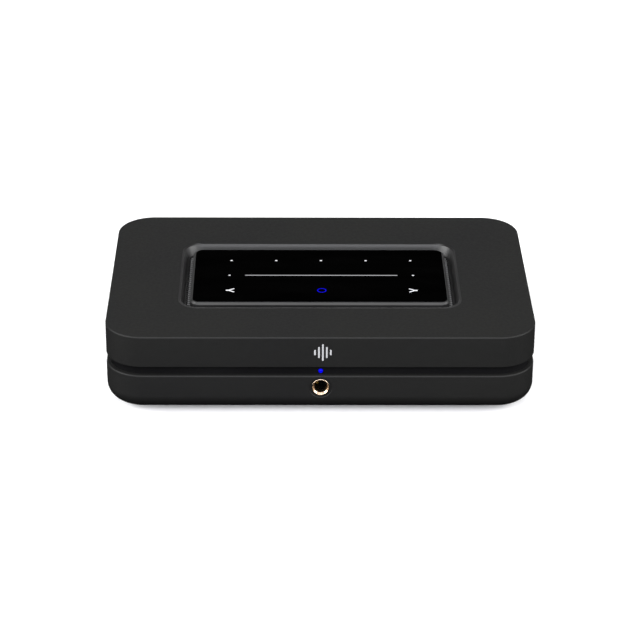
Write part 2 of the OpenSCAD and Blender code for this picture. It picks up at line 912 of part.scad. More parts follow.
module lan_contacts() {
    color(gold)
    for (i = [0:7])
        block([lan_at[0] - 4.1 + i * 1.02, lan_at[0] - 3.7 + i * 1.02], [socket_y - 13.9, socket_y - 4],
            [lan_at[1] + 4, lan_at[1] + 4.5]);
}

module mini_jack(x) {
    color([0.1, 0.1, 0.1])
    difference() {
        union() {
            block([x - 3.9, x + 3.9], [50, panel_y[0] - 0.1], [board_top + 0.1, mini_z + 4.2]);
            rod_y(x, mini_z, mini_collar_r, panel_y[0] - 1, socket_y);
        }
        rod_y(x, mini_z, mini_r, 52, socket_y + 1);
    }
}

module line_in_jack() mini_jack(mini_x[0]);
module ir_jack() mini_jack(mini_x[1]);
module trigger_jack() mini_jack(mini_x[2]);

// ---- phono sockets ------------------------------------------------------------------------

module rca_block() {
    color([0.08, 0.08, 0.08])
    difference() {
        block([61, 84], [50, panel_y[0] - 0.1], [board_top + 0.1, 35.6]);
        for (p = rca_at)
            rod_y(p[0], p[1], rca_stem_r + 0.05, 52, panel_y[0] + 1);
        rod_y(screw_at[2][0], screw_at[2][1], 1.45, 55, panel_y[0] + 1);
    }
}

module rca_barrels() {
    color(metal)
    for (p = rca_at)
        difference() {
            union() {
                rod_y(p[0], p[1], rca_stem_r, 53, rca_base_y + eps);
                rod_y(p[0], p[1], rca_r, rca_base_y, rca_tip_y);
            }
            rod_y(p[0], p[1], rca_inner_r, 52, rca_tip_y + 1);
        }
}

module rca_inserts() {
    colours = ["orange", "black", "red", "white"];
    for (i = [0:3])
        color(colours[i])
        difference() {
            rod_y(rca_at[i][0], rca_at[i][1], rca_inner_r - 0.05, 54, rca_tip_y - 0.6);
            rod_y(rca_at[i][0], rca_at[i][1], 2.2, 53, rca_tip_y + 1);
        }
}

module rca_contacts() {
    color(gold)
    for (p = rca_at)
        difference() {
            rod_y(p[0], p[1], 2.15, 54, rca_tip_y - 1.2);
            rod_y(p[0], p[1], 1.6, 58, rca_tip_y + 1);
        }
}

module panel_screws() {
    color([0.15, 0.15, 0.15])
    for (p = screw_at) {
        rod_y(p[0], p[1], 1.4, 57, panel_y[1] + eps);
        rod_y(p[0], p[1], 2.6, panel_y[1], panel_y[1] + 1.5);
    }
}

top_cover();
lower_case();
mid_frame();
rear_panel();
rear_bezel();
feet();
case_screws();
vent_grille();
touch_carrier();
touch_glass();
touch_adhesive();
touch_board();
touch_ribbon();
front_mark();
status_lens();
status_led();
headphone_bushing();
headphone_body();
headphone_contacts();
headphone_board();
headphone_ribbon();
main_board();
board_screws();
processor();
heatsink();
wireless_module();
antenna_left();
antenna_right();
antenna_leads();
audio_chips();
filter_capacitors();
psu_board();
psu_insulator();
psu_transformer();
psu_capacitors();
psu_choke();
psu_heatsink();
psu_screws();
inlet_body();
inlet_pins();
inlet_leads();
power_harness();
optical_housing();
optical_shutter();
shutter_pin();
shutter_spring();
optical_emitter();
hdmi_shell();
hdmi_tongue();
usb_shell();
usb_tongue();
lan_shell();
lan_contacts();
line_in_jack();
ir_jack();
trigger_jack();
rca_block();
rca_barrels();
rca_inserts();
rca_contacts();
panel_screws();
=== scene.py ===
import json
import math

import bmesh
import bpy
from mathutils import Euler, Matrix, Vector


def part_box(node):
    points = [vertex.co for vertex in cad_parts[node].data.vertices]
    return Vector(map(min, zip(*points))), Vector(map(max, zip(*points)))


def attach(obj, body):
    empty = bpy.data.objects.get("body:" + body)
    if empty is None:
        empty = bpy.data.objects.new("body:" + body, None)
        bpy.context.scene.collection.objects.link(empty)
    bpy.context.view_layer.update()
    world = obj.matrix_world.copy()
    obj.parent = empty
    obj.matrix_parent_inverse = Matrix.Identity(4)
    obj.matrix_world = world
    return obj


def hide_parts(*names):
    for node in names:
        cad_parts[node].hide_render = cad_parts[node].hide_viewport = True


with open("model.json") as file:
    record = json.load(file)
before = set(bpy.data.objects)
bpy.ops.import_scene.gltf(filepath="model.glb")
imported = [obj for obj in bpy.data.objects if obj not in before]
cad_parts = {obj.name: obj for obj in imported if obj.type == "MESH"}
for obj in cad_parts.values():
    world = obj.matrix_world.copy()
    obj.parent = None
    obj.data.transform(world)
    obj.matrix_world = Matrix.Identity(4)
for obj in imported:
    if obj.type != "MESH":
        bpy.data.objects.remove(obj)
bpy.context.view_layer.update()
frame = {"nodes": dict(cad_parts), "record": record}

MM = 0.001
CASE = "case"
SHUTTER = "shutter"


# ---- modelling helpers: each does what a hand does with the operators of edit mode ----------

def mm(*values):
    """Millimetres to metres, as a vector."""
    return Vector([v * MM for v in values])


def clear():
    """Object mode, nothing selected."""
    if bpy.context.object and bpy.context.object.mode != "OBJECT":
        bpy.ops.object.mode_set(mode="OBJECT")
    bpy.ops.object.select_all(action="DESELECT")


def take(piece):
    clear()
    piece.select_set(True)
    bpy.context.view_layer.objects.active = piece
    return piece


def settle(piece, name=None):
    """Applies the place, turn and size, so the object sits at the origin, unturned and unscaled."""
    take(piece)
    bpy.ops.object.transform_apply(location=True, rotation=True, scale=True)
    if name:
        piece.name = name
        piece.data.name = name
    return piece


def add_box(name, low, high):
    clear()
    low, high = Vector(low), Vector(high)
    bpy.ops.mesh.primitive_cube_add(size=1, location=(low + high) / 2)
    piece = bpy.context.object
    piece.scale = high - low
    return settle(piece, name)


def add_rod(name, centre, radius, length, axis="Y", sides=48):
    """A cylinder along an axis, centred on a point."""
    clear()
    turn = {"X": (0, math.pi / 2, 0), "Y": (math.pi / 2, 0, 0), "Z": (0, 0, 0)}[axis]
    bpy.ops.mesh.primitive_cylinder_add(vertices=sides, radius=radius, depth=length, location=centre,
                                        rotation=turn)
    return settle(bpy.context.object, name)


def turned(name, steps, place, axis="Z", sides=64, ring=False):
    """A turned piece: a ring extruded and scaled from each (radius, height) to the next. A ring's last
    loop is bridged to its first; otherwise both ends are filled."""
    clear()
    bpy.ops.mesh.primitive_circle_add(vertices=sides, radius=steps[0][0], location=(0, 0, steps[0][1]),
                                      fill_type="NOTHING" if ring else "NGON")
    piece = settle(bpy.context.object)
    bpy.ops.object.mode_set(mode="EDIT")
    bpy.ops.mesh.select_mode(type="EDGE")
    bpy.ops.mesh.select_all(action="SELECT")
    for (r0, h0), (r1, h1) in zip(steps, steps[1:]):
        bpy.ops.mesh.extrude_region_move(TRANSFORM_OT_translate={"value": (0, 0, h1 - h0)})
        bpy.ops.transform.resize(value=(r1 / r0, r1 / r0, 1), center_override=(0, 0, h1))
    if ring:
        mesh = bmesh.from_edit_mesh(piece.data)
        for edge in mesh.edges:
            edge.select_set(len(edge.link_faces) == 1)
        bmesh.update_edit_mesh(piece.data)
        bpy.ops.mesh.bridge_edge_loops()
    bpy.ops.mesh.select_all(action="SELECT")
    bpy.ops.mesh.normals_make_consistent(inside=False)
    bpy.ops.object.mode_set(mode="OBJECT")
    piece.rotation_euler = {"X": (0, math.pi / 2, 0), "Y": (-math.pi / 2, 0, 0), "Z": (0, 0, 0)}[axis]
    piece.location = Vector(place)
    settle(piece, name)
    return piece


def select(piece, kind, test):
    """Edit mode, with the faces or edges chosen whose middle and direction pass the test."""
    take(piece)
    bpy.ops.object.mode_set(mode="EDIT")
    bpy.ops.mesh.select_mode(type="FACE" if kind == "faces" else "EDGE")
    bpy.ops.mesh.select_all(action="DESELECT")
    mesh = bmesh.from_edit_mesh(piece.data)
    if kind == "faces":
        for face in mesh.faces:
            face.select_set(test(face.calc_center_median(), face.normal))
    else:
        for edge in mesh.edges:
            a, b = edge.verts[0].co, edge.verts[1].co
            edge.select_set(test((a + b) / 2, (b - a).normalized()))
    bmesh.update_edit_mesh(piece.data)


def round_edges(piece, test, width, segments=3):
    select(piece, "edges", test)
    bpy.ops.mesh.bevel(offset=width, offset_type="OFFSET", segments=segments, profile=0.5, affect="EDGES",
                       clamp_overlap=True)
    bpy.ops.object.mode_set(mode="OBJECT")
    return piece


def upright(middle, along):
    return abs(along.z) > 0.99


def front_to_back(middle, along):
    return abs(along.y) > 0.9


def plan_block(name, low, high, radius, segments=16):
    """A box with its four upright edges rounded."""
    return round_edges(add_box(name, low, high), upright, radius, segments)


def rim(z, slack=1e-5):
    """Edges that lie in the level plane at z."""
    return lambda middle, along: abs(middle.z - z) < slack and abs(along.z) < 0.01


def sink_face(piece, test, inset, depth):
    """Insets the chosen face and pushes it in along a vector, as for a socket's mouth."""
    select(piece, "faces", test)
    bpy.ops.mesh.inset(thickness=inset, use_even_offset=True)
    bpy.ops.mesh.extrude_region_move(TRANSFORM_OT_translate={"value": tuple(depth)})
    bpy.ops.object.mode_set(mode="OBJECT")
    return piece


def cut(piece, *cutters, keep=False):
    """Takes the cutters' shapes out of the piece."""
    for cutter in cutters:
        take(piece)
        modifier = piece.modifiers.new("cut", "BOOLEAN")
        modifier.operation = "DIFFERENCE"
        modifier.solver = "EXACT"
        modifier.object = cutter
        bpy.ops.object.modifier_apply(modifier=modifier.name)
        if not keep:
            bpy.data.objects.remove(cutter)
    return piece


def join(name, pieces):
    clear()
    for piece in pieces:
        piece.select_set(True)
    bpy.context.view_layer.objects.active = pieces[0]
    bpy.ops.object.join()
    return settle(bpy.context.object, name)


def copy_to(piece, offset, name=None):
    """A copy with its own mesh, moved by a vector."""
    take(piece)
    bpy.ops.object.duplicate(linked=False)
    twin = bpy.context.object
    twin.location = Vector(offset)
    return settle(twin, name or piece.name)


def soften(piece, width=0.0002, segments=2, angle=35):
    """Breaks the sharp edges left, as moulding or stamping does."""
    take(piece)
    modifier = piece.modifiers.new("edge break", "BEVEL")
    modifier.width = width
    modifier.segments = segments
    modifier.limit_method = "ANGLE"
    modifier.angle_limit = math.radians(angle)
    modifier.use_clamp_overlap = True
    bpy.ops.object.modifier_apply(modifier=modifier.name)
    return piece


def show(piece, material, nodes=(), body=CASE, angle=38, weighted=True):
    """Last step of a piece: smooth shading, material, and what it rides on and stands for."""
    take(piece)
    bpy.ops.object.shade_smooth_by_angle(angle=math.radians(angle))
    if weighted:
        modifier = piece.modifiers.new("even shading", "WEIGHTED_NORMAL")
        modifier.keep_sharp = True
        bpy.ops.object.modifier_apply(modifier=modifier.name)
    piece.data.materials.clear()
    piece.data.materials.append(material)
    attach(piece, body)
    if nodes:
        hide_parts(*nodes)
    return piece


# ---- materials: what each finish is and how it was made -------------------------------------

def linear(code):
    """An sRGB hex colour as linear RGBA."""
    parts = [int(code[i:i + 2], 16) / 255 for i in (1, 3, 5)]
    return [c / 12.92 if c <= 0.04045 else ((c + 0.055) / 1.055) ** 2.4 for c in parts] + [1.0]


def add(tree, kind, settings=None, links=None, **values):
    """Adds a node with its properties, its socket values and its incoming links."""
    node = tree.nodes.new("ShaderNode" + kind)
    for key, value in (settings or {}).items():
        setattr(node, key, value)
    for socket, value in values.items():
        node.inputs[socket.replace("_", " ")].default_value = value
    for socket, source in (links or {}).items():
        tree.links.new(source, node.inputs[socket])
    return node


def start(name, **shader_values):
    """A new material with its shader and object coordinates."""
    material = bpy.data.materials.new(name)
    material.use_nodes = True
    tree = material.node_tree
    tree.nodes.clear()
    shader = add(tree, "BsdfPrincipled", **shader_values)
    add(tree, "OutputMaterial", links={"Surface": shader.outputs["BSDF"]})
    place = add(tree, "TexCoord").outputs["Object"]
    return material, tree, shader, place


def noise(tree, place, size_mm, detail=3.0, roughness=0.5):
    """Noise whose blotches are about size_mm across, from 0 to 1."""
    return add(tree, "TexNoise", links={"Vector": place}, Scale=1 / (size_mm * MM), Detail=detail,
               Roughness=roughness).outputs["Fac"]


def spread(tree, factor, low, high, start_at=0.3, end_at=0.7):
    """Stretches a 0 to 1 factor to run from low to high."""
    return add(tree, "MapRange", links={"Value": factor}, From_Min=start_at, From_Max=end_at, To_Min=low,
               To_Max=high).outputs["Result"]


def two_tone(tree, factor, dark, light):
    """Colour that drifts between two close hex colours."""
    ramp = add(tree, "ValToRGB", links={"Fac": factor})
    ramp.color_ramp.elements[0].color = linear(dark)
    ramp.color_ramp.elements[0].position = 0.35
    ramp.color_ramp.elements[1].color = linear(light)
    ramp.color_ramp.elements[1].position = 0.65
    return ramp.outputs["Color"]


def relief(tree, shader, factor, height_mm, strength=1.0, under=None):
    """Bump of a real height on the shader's normal, over another bump if there is one."""
    links = {"Height": factor}
    if under:
        links["Normal"] = under
    bump = add(tree, "Bump", links=links, Strength=strength, Distance=height_mm * MM)
    tree.links.new(bump.outputs["Normal"], shader.inputs["Normal"])
    return bump.outputs["Normal"]


def moulded(name, dark, light, rough, grain_mm=0.6, grain_height_mm=0.012, ior=1.49, level=0.5, **extra):
    """Injection-moulded plastic: a fine spark-eroded grain, with slow drifts of tone and gloss."""
    material, tree, shader, place = start(name, IOR=ior, Specular_IOR_Level=level, **extra)
    drift = noise(tree, place, 38, 2)
    grain = noise(tree, place, grain_mm, 4, 0.6)
    tree.links.new(two_tone(tree, drift, dark, light), shader.inputs["Base Color"])
    tree.links.new(spread(tree, drift, rough[0], rough[1]), shader.inputs["Roughness"])
    relief(tree, shader, grain, grain_height_mm)
    return material


def plated(name, dark, light, rough, metallic=1.0, scratch_mm=0.25, height_mm=0.003):
    """Metal, plated or bare: fine handling marks and a faint drift of tone."""
    material, tree, shader, place = start(name, Metallic=metallic)
    drift = noise(tree, place, 6, 3)
    marks = noise(tree, place, scratch_mm, 5, 0.7)
    tree.links.new(two_tone(tree, drift, dark, light), shader.inputs["Base Color"])
    tree.links.new(spread(tree, marks, rough[0], rough[1]), shader.inputs["Roughness"])
    relief(tree, shader, marks, height_mm, 0.6)
    return material


def brushed(name, dark, light, rough, line_mm=0.12, stretch=(0.03, 1, 1)):
    """Rolled or brushed sheet metal: fine lines along X."""
    material, tree, shader, place = start(name, Metallic=1.0)
    mapped = add(tree, "Mapping", links={"Vector": place}, Scale=stretch).outputs["Vector"]
    lines = noise(tree, mapped, line_mm, 4, 0.7)
    tree.links.new(two_tone(tree, lines, dark, light), shader.inputs["Base Color"])
    tree.links.new(spread(tree, lines, rough[0], rough[1]), shader.inputs["Roughness"])
    relief(tree, shader, lines, 0.004, 0.5)
    return material


def wound(name, dark, light, rough, wire_mm, axis_turn=(0, 0, 0), metallic=0.0):
    """Wound wire or tape: even turns, each a soft ridge."""
    material, tree, shader, place = start(name, Metallic=metallic)
    mapped = add(tree, "Mapping", links={"Vector": place}, Rotation=axis_turn).outputs["Vector"]
    turns = add(tree, "TexWave", {"wave_type": "BANDS", "bands_direction": "Z"}, {"Vector": mapped},
                Scale=math.pi / (10 * wire_mm * MM), Distortion=0.4, Detail=1.0).outputs["Fac"]
    tree.links.new(two_tone(tree, turns, dark, light), shader.inputs["Base Color"])
    tree.links.new(spread(tree, turns, rough[0], rough[1], 0, 1), shader.inputs["Roughness"])
    relief(tree, shader, turns, wire_mm * 0.2)
    return material


def masked_board(name, dark, light):
    """Printed board: solder mask over faint raised tracks, with a satin gloss."""
    material, tree, shader, place = start(name, IOR=1.5)
    tracks = add(tree, "TexBrick", {"offset": 0.5}, {"Vector": place}, Scale=1 / (9 * MM), Mortar_Size=0.035,
                 Brick_Width=1.7, Row_Height=0.35).outputs["Fac"]
    blotch = noise(tree, place, 5, 3)
    mixed = add(tree, "Math", {"operation": "MAXIMUM"}, {0: tracks, 1: blotch}).outputs["Value"]
    tree.links.new(two_tone(tree, mixed, dark, light), shader.inputs["Base Color"])
    tree.links.new(spread(tree, blotch, 0.28, 0.4), shader.inputs["Roughness"])
    relief(tree, shader, tracks, 0.03)
    return material


def lit(name, base, glow, strength, rim):
    """A light window: moulded acrylic lit from behind, its glow drifting a little at random between two
    tones.
    """
    material, tree, shader, place = start(name, IOR=1.49, Roughness=0.3, Specular_IOR_Level=0.1,
                                          Emission_Strength=strength)
    shader.inputs["Base Color"].default_value = linear(base)
    tree.links.new(two_tone(tree, noise(tree, place, 0.7, 2), rim, glow), shader.inputs["Emission Color"])
    return material


def case_black():
    """Case shells: black ABS moulded in a spark-eroded tool and soft to the touch. A dead, even
    black whose fine grain breaks up highlights, so the flats stay quiet and the edges draw a line."""
    material, tree, shader, place = start("black_abs_spark_eroded", IOR=1.49, Specular_IOR_Level=CASE_LEVEL)
    drift = noise(tree, place, 60, 2)
    grain = noise(tree, place, 0.45, 4, 0.65)
    pits = noise(tree, place, 1.6, 3, 0.5)
    tree.links.new(two_tone(tree, drift, CASE_DARK, CASE_LIGHT), shader.inputs["Base Color"])
    tree.links.new(spread(tree, pits, CASE_ROUGH[0], CASE_ROUGH[1]), shader.inputs["Roughness"])
    fine = relief(tree, shader, grain, 0.010)
    relief(tree, shader, pits, 0.006, 0.5, fine)
    return material


def panel_glass():
    """Touch panel: float glass printed black on its back and polished. Deep black with a hard, clean
    reflection, broken only by a trace of wiping marks."""
    material, tree, shader, place = start("black_back_printed_glass", IOR=1.52)
    smears = add(tree, "Mapping", links={"Vector": place}, Rotation=(0, 0, 0.5),
                 Scale=(0.25, 1, 1)).outputs["Vector"]
    wipes = noise(tree, smears, 14, 3, 0.6)
    tree.links.new(two_tone(tree, wipes, "#010101", "#020202"), shader.inputs["Base Color"])
    tree.links.new(spread(tree, wipes, 0.03, 0.09), shader.inputs["Roughness"])
    relief(tree, shader, wipes, 0.002, 0.3)
    return material


CASE_DARK = "#121212"
CASE_LIGHT = "#141413"
CASE_ROUGH = (0.52, 0.6)
CASE_LEVEL = 0.25

# black ABS waist band: the same moulding without the soft finish, its colour painted darker than the case's
# as painted shade for the shade that falls in its slot
WAIST_PAINTED_SHADE = moulded("black_abs_waist_painted_shade", "#070708", "#09090a", (0.5, 0.6), level=0.12)
CASE_SHELL = case_black()
GLASS = panel_glass()
# satin ABS of the vented well and the glass rim: smoother, so its slopes catch the light
WELL = moulded("satin_abs_well", "#1e1e1e", "#232323", (0.3, 0.38), 0.5, 0.006)
# the ribs between the vents: black moulding given a pale grey colour, a painted highlight for the light they
# catch
VENT_RIBS_PAINTED_LIGHT = moulded("vent_ribs_painted_light", "#5c5c5c", "#686868", (0.5, 0.6), 0.3, 0.006)
# the well's sides came off a polished face of the tool: they mirror the low light in front
WELL_WALL = moulded("polished_abs_well_side", "#181818", "#1c1c1c", (0.38, 0.44), 0.5, 0.004)
# pale print and light windows behind the glass
ICON_WHITE = lit("acrylic_window_white", "#404040", "#ffffff", 1.0, "#f4f6ff")
ICON_LINE = lit("acrylic_line_white", "#404040", "#c8c8cc", 0.7, "#bcbcc0")
ICON_BLUE = lit("acrylic_window_blue", "#000018", "#0404ff", 0.9, "#0000f4")
LAMP_BLUE = lit("acrylic_lens_blue", "#000018", "#0404ff", 1.0, "#0000f4")
# pale inlay of the front mark: pad-printed plastic, quite matt
MARK = moulded("pale_grey_inlay", "#a9a9aa", "#b4b4b6", (0.4, 0.5), 0.3, 0.004)
# headphone bushing: brass turned, then nickel plated with a warm champagne cast
BUSHING = plated("champagne_nickel_plate", "#c2ab93", "#d8c4ad", (0.2, 0.3))
# bright nickel of the phono barrels and inlet pins
NICKEL = plated("bright_nickel_plate", "#b9b6ae", "#d2cfc6", (0.14, 0.24))
GOLD = plated("gold_flash", "#c79a3c", "#e0b75a", (0.18, 0.28))
ZINC = plated("zinc_plated_screw", "#9a9ca0", "#b8babd", (0.25, 0.4))
BLACK_ZINC = plated("black_zinc_screw", "#1c1c1e", "#2c2c2f", (0.3, 0.42), 0.9)
SPRING = plated("drawn_spring_wire", "#9a9aa0", "#c0c0c6", (0.2, 0.3), scratch_mm=0.05)
TINPLATE = brushed("tinned_shield_steel", "#a8a8a6", "#c6c6c3", (0.26, 0.4))
ALUMINIUM = brushed("extruded_aluminium", "#a2a4a7", "#c2c4c7", (0.3, 0.45), 0.2)
# tray and connector mouldings: plain black nylon and ABS, slightly glossier than the case
TRAY = moulded("black_abs_tray", "#131314", "#171718", (0.42, 0.5), 0.6, 0.01, level=0.35)
NYLON = moulded("black_nylon_moulding", "#0d0d0e", "#141415", (0.34, 0.46), 0.4, 0.008)
SHUTTER_ABS = moulded("grey_black_shutter_moulding", "#202022", "#29292b", (0.36, 0.46), 0.3, 0.006)
TONGUE = moulded("white_contact_carrier", "#d2d2cc", "#e2e2dc", (0.3, 0.4), 0.4, 0.006)
INSERT_WHITE = moulded("white_phono_insert", "#d6d6d2", "#e6e6e2", (0.25, 0.35), 0.4, 0.005)
INSERT_RED = moulded("red_phono_insert", "#9c1414", "#b41c1a", (0.25, 0.35), 0.4, 0.005)
INSERT_BLACK = moulded("black_phono_insert", "#101011", "#171718", (0.25, 0.35), 0.4, 0.005)
INSERT_ORANGE = moulded("orange_phono_insert", "#b8560e", "#cc6614", (0.25, 0.35), 0.4, 0.005)
# feet: moulded rubber with bloom, nearly no gloss
RUBBER = moulded("moulded_rubber_foot", "#101010", "#1a1a19", (0.75, 0.88), 0.8, 0.03, level=0.3)
EPOXY = moulded("chip_epoxy", "#141415", "#1c1c1d", (0.45, 0.6), 0.25, 0.01)
SLEEVE = moulded("shrunk_vinyl_sleeve", "#12121c", "#1a1a28", (0.22, 0.34), 2.0, 0.01)
CABLE = moulded("extruded_lead_sheath", "#101010", "#191918", (0.4, 0.5), 0.8, 0.01)
HARNESS = moulded("red_harness_sheath", "#7a1410", "#94201a", (0.35, 0.45), 0.8, 0.01)
FLAT_CABLE = moulded("laminated_flat_cable", "#c8c8be", "#dcdcd2", (0.25, 0.35), 1.0, 0.01)
FOAM = moulded("die_cut_foam_tape", "#161616", "#222222", (0.8, 0.9), 0.3, 0.05)
PAPER = moulded("fish_paper", "#b4a98a", "#c6bc9e", (0.6, 0.75), 0.5, 0.02)
EMITTER = moulded("red_epoxy_emitter", "#8a1010", "#a41818", (0.1, 0.2), 1.0, 0.004)
BOARD = masked_board("green_solder_mask", "#0b2b1c", "#123c28")
POWER_BOARD = masked_board("phenolic_board", "#6c4a22", "#82602f")
ANTENNA = masked_board("antenna_laminate", "#171a12", "#23271b")
TAPE = wound("polyester_tape_winding", "#a88a18", "#c8a826", (0.25, 0.4), 0.6)
COPPER = wound("enamelled_copper_winding", "#6a3212", "#9a5424", (0.25, 0.4), 0.8, metallic=0.9)

SLOT_MATERIALS = {
    "screw_steel": ZINC, "adhesive_foam": FOAM, "circuit_board": BOARD, "flat_cable": FLAT_CABLE,
    "socket_plastic": NYLON, "gold_contact": GOLD, "chip_epoxy": EPOXY, "heatsink_aluminium": ALUMINIUM,
    "shield_steel": TINPLATE, "antenna_board": ANTENNA, "lead_sheath": CABLE, "capacitor_sleeve": SLEEVE,
    "power_board": POWER_BOARD, "insulator_sheet": PAPER, "winding_tape": TAPE, "copper_winding": COPPER,
    "plated_nickel": NICKEL, "harness_sheath": HARNESS, "shutter_plastic": SHUTTER_ABS,
    "spring_steel": SPRING, "emitter_plastic": EMITTER, "tongue_plastic": TONGUE,
    "insert_plastic": INSERT_BLACK, "black_screw": BLACK_ZINC, "case_plastic": CASE_SHELL,
    "waist_plastic": WAIST_PAINTED_SHADE, "panel_plastic": TRAY, "foot_rubber": RUBBER, "vent_plastic": WELL,
    "touch_glass": GLASS, "mark_print": MARK, "light_lens": LAMP_BLUE,
}


# ---- sizes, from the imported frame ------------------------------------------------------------

def span(node):
    """Lowest and highest corner of a CAD node."""
    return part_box(node)


high_top = span("top_cover")[1]
low_tub = span("lower_case")[0]
low_waist, high_waist = span("mid_frame")
low_tray, high_tray = span("rear_panel")[0], span("rear_bezel")[1]
low_glass, high_glass = span("touch_glass")
low_carrier, high_carrier = span("touch_carrier")
low_grille, high_grille = span("vent_grille")
high_foot = span("feet")[1]

TOP_Z = high_top.z
UPPER_RIM = 28.8 * MM
LOWER_RIM = 23.95 * MM
BASE_Z = low_tub.z
HALF_W = high_top.x
HALF_D = high_top.y
FRONT_Y = -HALF_D
CORNER = 19.5 * MM
WALL = 2.5 * MM
EDGE = 0.8 * MM
BASE_ROUND = 8.6 * MM
PANEL_SHIFT = (low_glass.y + high_glass.y) / 2
WELL_X = 72.5 * MM
WELL_Y = 38.1 * MM
WELL_ROLL = 0.4 * MM
WELL_BACK = 0.9 * MM
LIP_SIDE = 0.8 * MM
LIP_FRONT = 1.7 * MM
LIP_DROP = 0.3 * MM
WELL_R = 10 * MM
LEAN_X = 1.6 * MM
LEAN_Y = 1.6 * MM
WELL_FLOOR = high_grille.z
CORNER_STEPS = 20


# ---- case shells -----------------------------------------------------------------------------

def well_cutter():
    """The well's shape: leaning sides, a small roll, and a shallow lip that is widest at the front."""
    roll = WELL_ROLL
    block = plan_block("well cutter", (-WELL_X, -WELL_Y, WELL_FLOOR - 0.01 * MM),
                       (WELL_X, WELL_Y, TOP_Z - LIP_DROP - roll), WELL_R, 24)
    select(block, "faces", lambda middle, normal: normal.z < -0.9)
    bpy.ops.transform.resize(value=(1 - LEAN_X / WELL_X, 1 - LEAN_Y / WELL_Y, 1))
    bpy.ops.object.mode_set(mode="OBJECT")
    steps = 4
    for step in range(steps):
        a0 = math.radians(90 * step / steps)
        a1 = math.radians(90 * (step + 1) / steps)
        grow = roll * (math.cos(a0) - math.cos(a1))
        rise = roll * (math.sin(a1) - math.sin(a0))
        select(block, "faces", lambda middle, normal: normal.z > 0.9)
        bpy.ops.mesh.extrude_region_move(TRANSFORM_OT_translate={"value": (0, 0, rise)})
        reach_x = WELL_X + roll * (1 - math.cos(a0))
        reach_y = WELL_Y + roll * (1 - math.cos(a0))
        bpy.ops.transform.resize(value=(1 + grow / reach_x, 1 + grow / reach_y, 1))
        bpy.ops.object.mode_set(mode="OBJECT")
    reach_x, reach_y = WELL_X + roll, WELL_Y + roll
    select(block, "faces", lambda middle, normal: normal.z > 0.9)
    bpy.ops.mesh.extrude_region_move(TRANSFORM_OT_translate={"value": (0, -LIP_FRONT / 2, LIP_DROP)})
    bpy.ops.transform.resize(value=(1 + LIP_SIDE / reach_x, 1 + LIP_FRONT / 2 / reach_y, 1))
    bpy.ops.mesh.extrude_region_move(TRANSFORM_OT_translate={"value": (0, 0, 1 * MM)})
    bpy.ops.object.mode_set(mode="OBJECT")
    block.location = (0, PANEL_SHIFT + WELL_BACK, 0)
    return settle(block)


MARK_HEIGHTS = (3.2, 6.4, 9.6, 6.4, 3.2)
MARK_STEP = 2.0
MARK_X = 1.0
MARK_WIDTH = 0.9
MARK_DEPTH = 0.4


def mark_bars(name, grow, front, back):
    """Five upright bars with round ends, side by side: a plain level-meter sign."""
    middle = (UPPER_RIM + TOP_Z) / 2
    bars = []
    for i, height in enumerate(MARK_HEIGHTS):
        x = (MARK_X + (i - 2) * MARK_STEP) * MM
        half_w = MARK_WIDTH / 2 * MM + grow
        half_h = height / 2 * MM + grow
        bar = add_box(name, (x - half_w, front, middle - half_h), (x + half_w, back, middle + half_h))
        round_edges(bar, front_to_back, half_w * 0.98, 5)
        bars.append(bar)
    return join(name, bars)


def rear_notch(name, slack=0.1 * MM):
    """The opening in the back that the connector tray fits."""
    return add_box(name, (low_tray.x - slack, low_tray.y - slack, low_tray.z - slack),
                   (high_tray.x + slack, HALF_D + WALL, high_tray.z + slack))


def build_top_shell():
    shell = plan_block("top_shell", (-HALF_W, FRONT_Y, UPPER_RIM), (HALF_W, HALF_D, TOP_Z), CORNER,
                       CORNER_STEPS)
    round_edges(shell, rim(TOP_Z), EDGE, 3)
    round_edges(shell, rim(UPPER_RIM), EDGE * 0.6, 2)
    hollow = plan_block("hollow", (-HALF_W + WALL, FRONT_Y + WALL, UPPER_RIM - WALL),
                        (HALF_W - WALL, HALF_D - WALL, TOP_Z - WALL), CORNER - WALL, CORNER_STEPS)
    collar_x = WELL_X + 3 * MM
    collar_y = WELL_Y + 3 * MM
    collar = plan_block("collar", (-collar_x, PANEL_SHIFT - collar_y, WELL_FLOOR),
                        (collar_x, PANEL_SHIFT + collar_y, TOP_Z), WELL_R + 3 * MM, 8)
    cut(hollow, collar)
    cut(shell, hollow, well_cutter(), rear_notch("notch"))
    cut(shell, mark_bars("pockets", 0.05 * MM, FRONT_Y - 1 * MM, FRONT_Y + MARK_DEPTH * MM))
    show(shell, CASE_SHELL, ["top_cover"], angle=42)
    shell.data.materials.append(WELL_WALL)
    select(shell, "faces", well_side)
    shell.active_material_index = 1
    bpy.ops.object.material_slot_assign()
    bpy.ops.object.mode_set(mode="OBJECT")
    return shell


def well_side(middle, normal):
    """Faces of the well's sides and rolled rim."""
    reach = WELL_Y + WELL_ROLL + LIP_FRONT
    inside = abs(middle.x) < WELL_X + WELL_ROLL + LIP_SIDE and abs(middle.y - PANEL_SHIFT) < reach
    return inside and WELL_FLOOR - 1e-5 < middle.z < TOP_Z - 1e-5 and normal.z > -0.01


def build_mark():
    bars = mark_bars("level_mark", 0, FRONT_Y + 0.03 * MM, FRONT_Y + (MARK_DEPTH - 0.02) * MM)
    soften(bars, 0.06 * MM, 2, 60)
    return show(bars, MARK, ["front_mark"])


PHONE_Z = 17.2 * MM
BOSSES = [(x * 93 * MM, y * 56 * MM) for x in (-1, 1) for y in (-1, 1)]
FEET = [(x * 78 * MM, y * 42 * MM) for x in (-1, 1) for y in (-1, 1)]
FOOT_R = 8 * MM


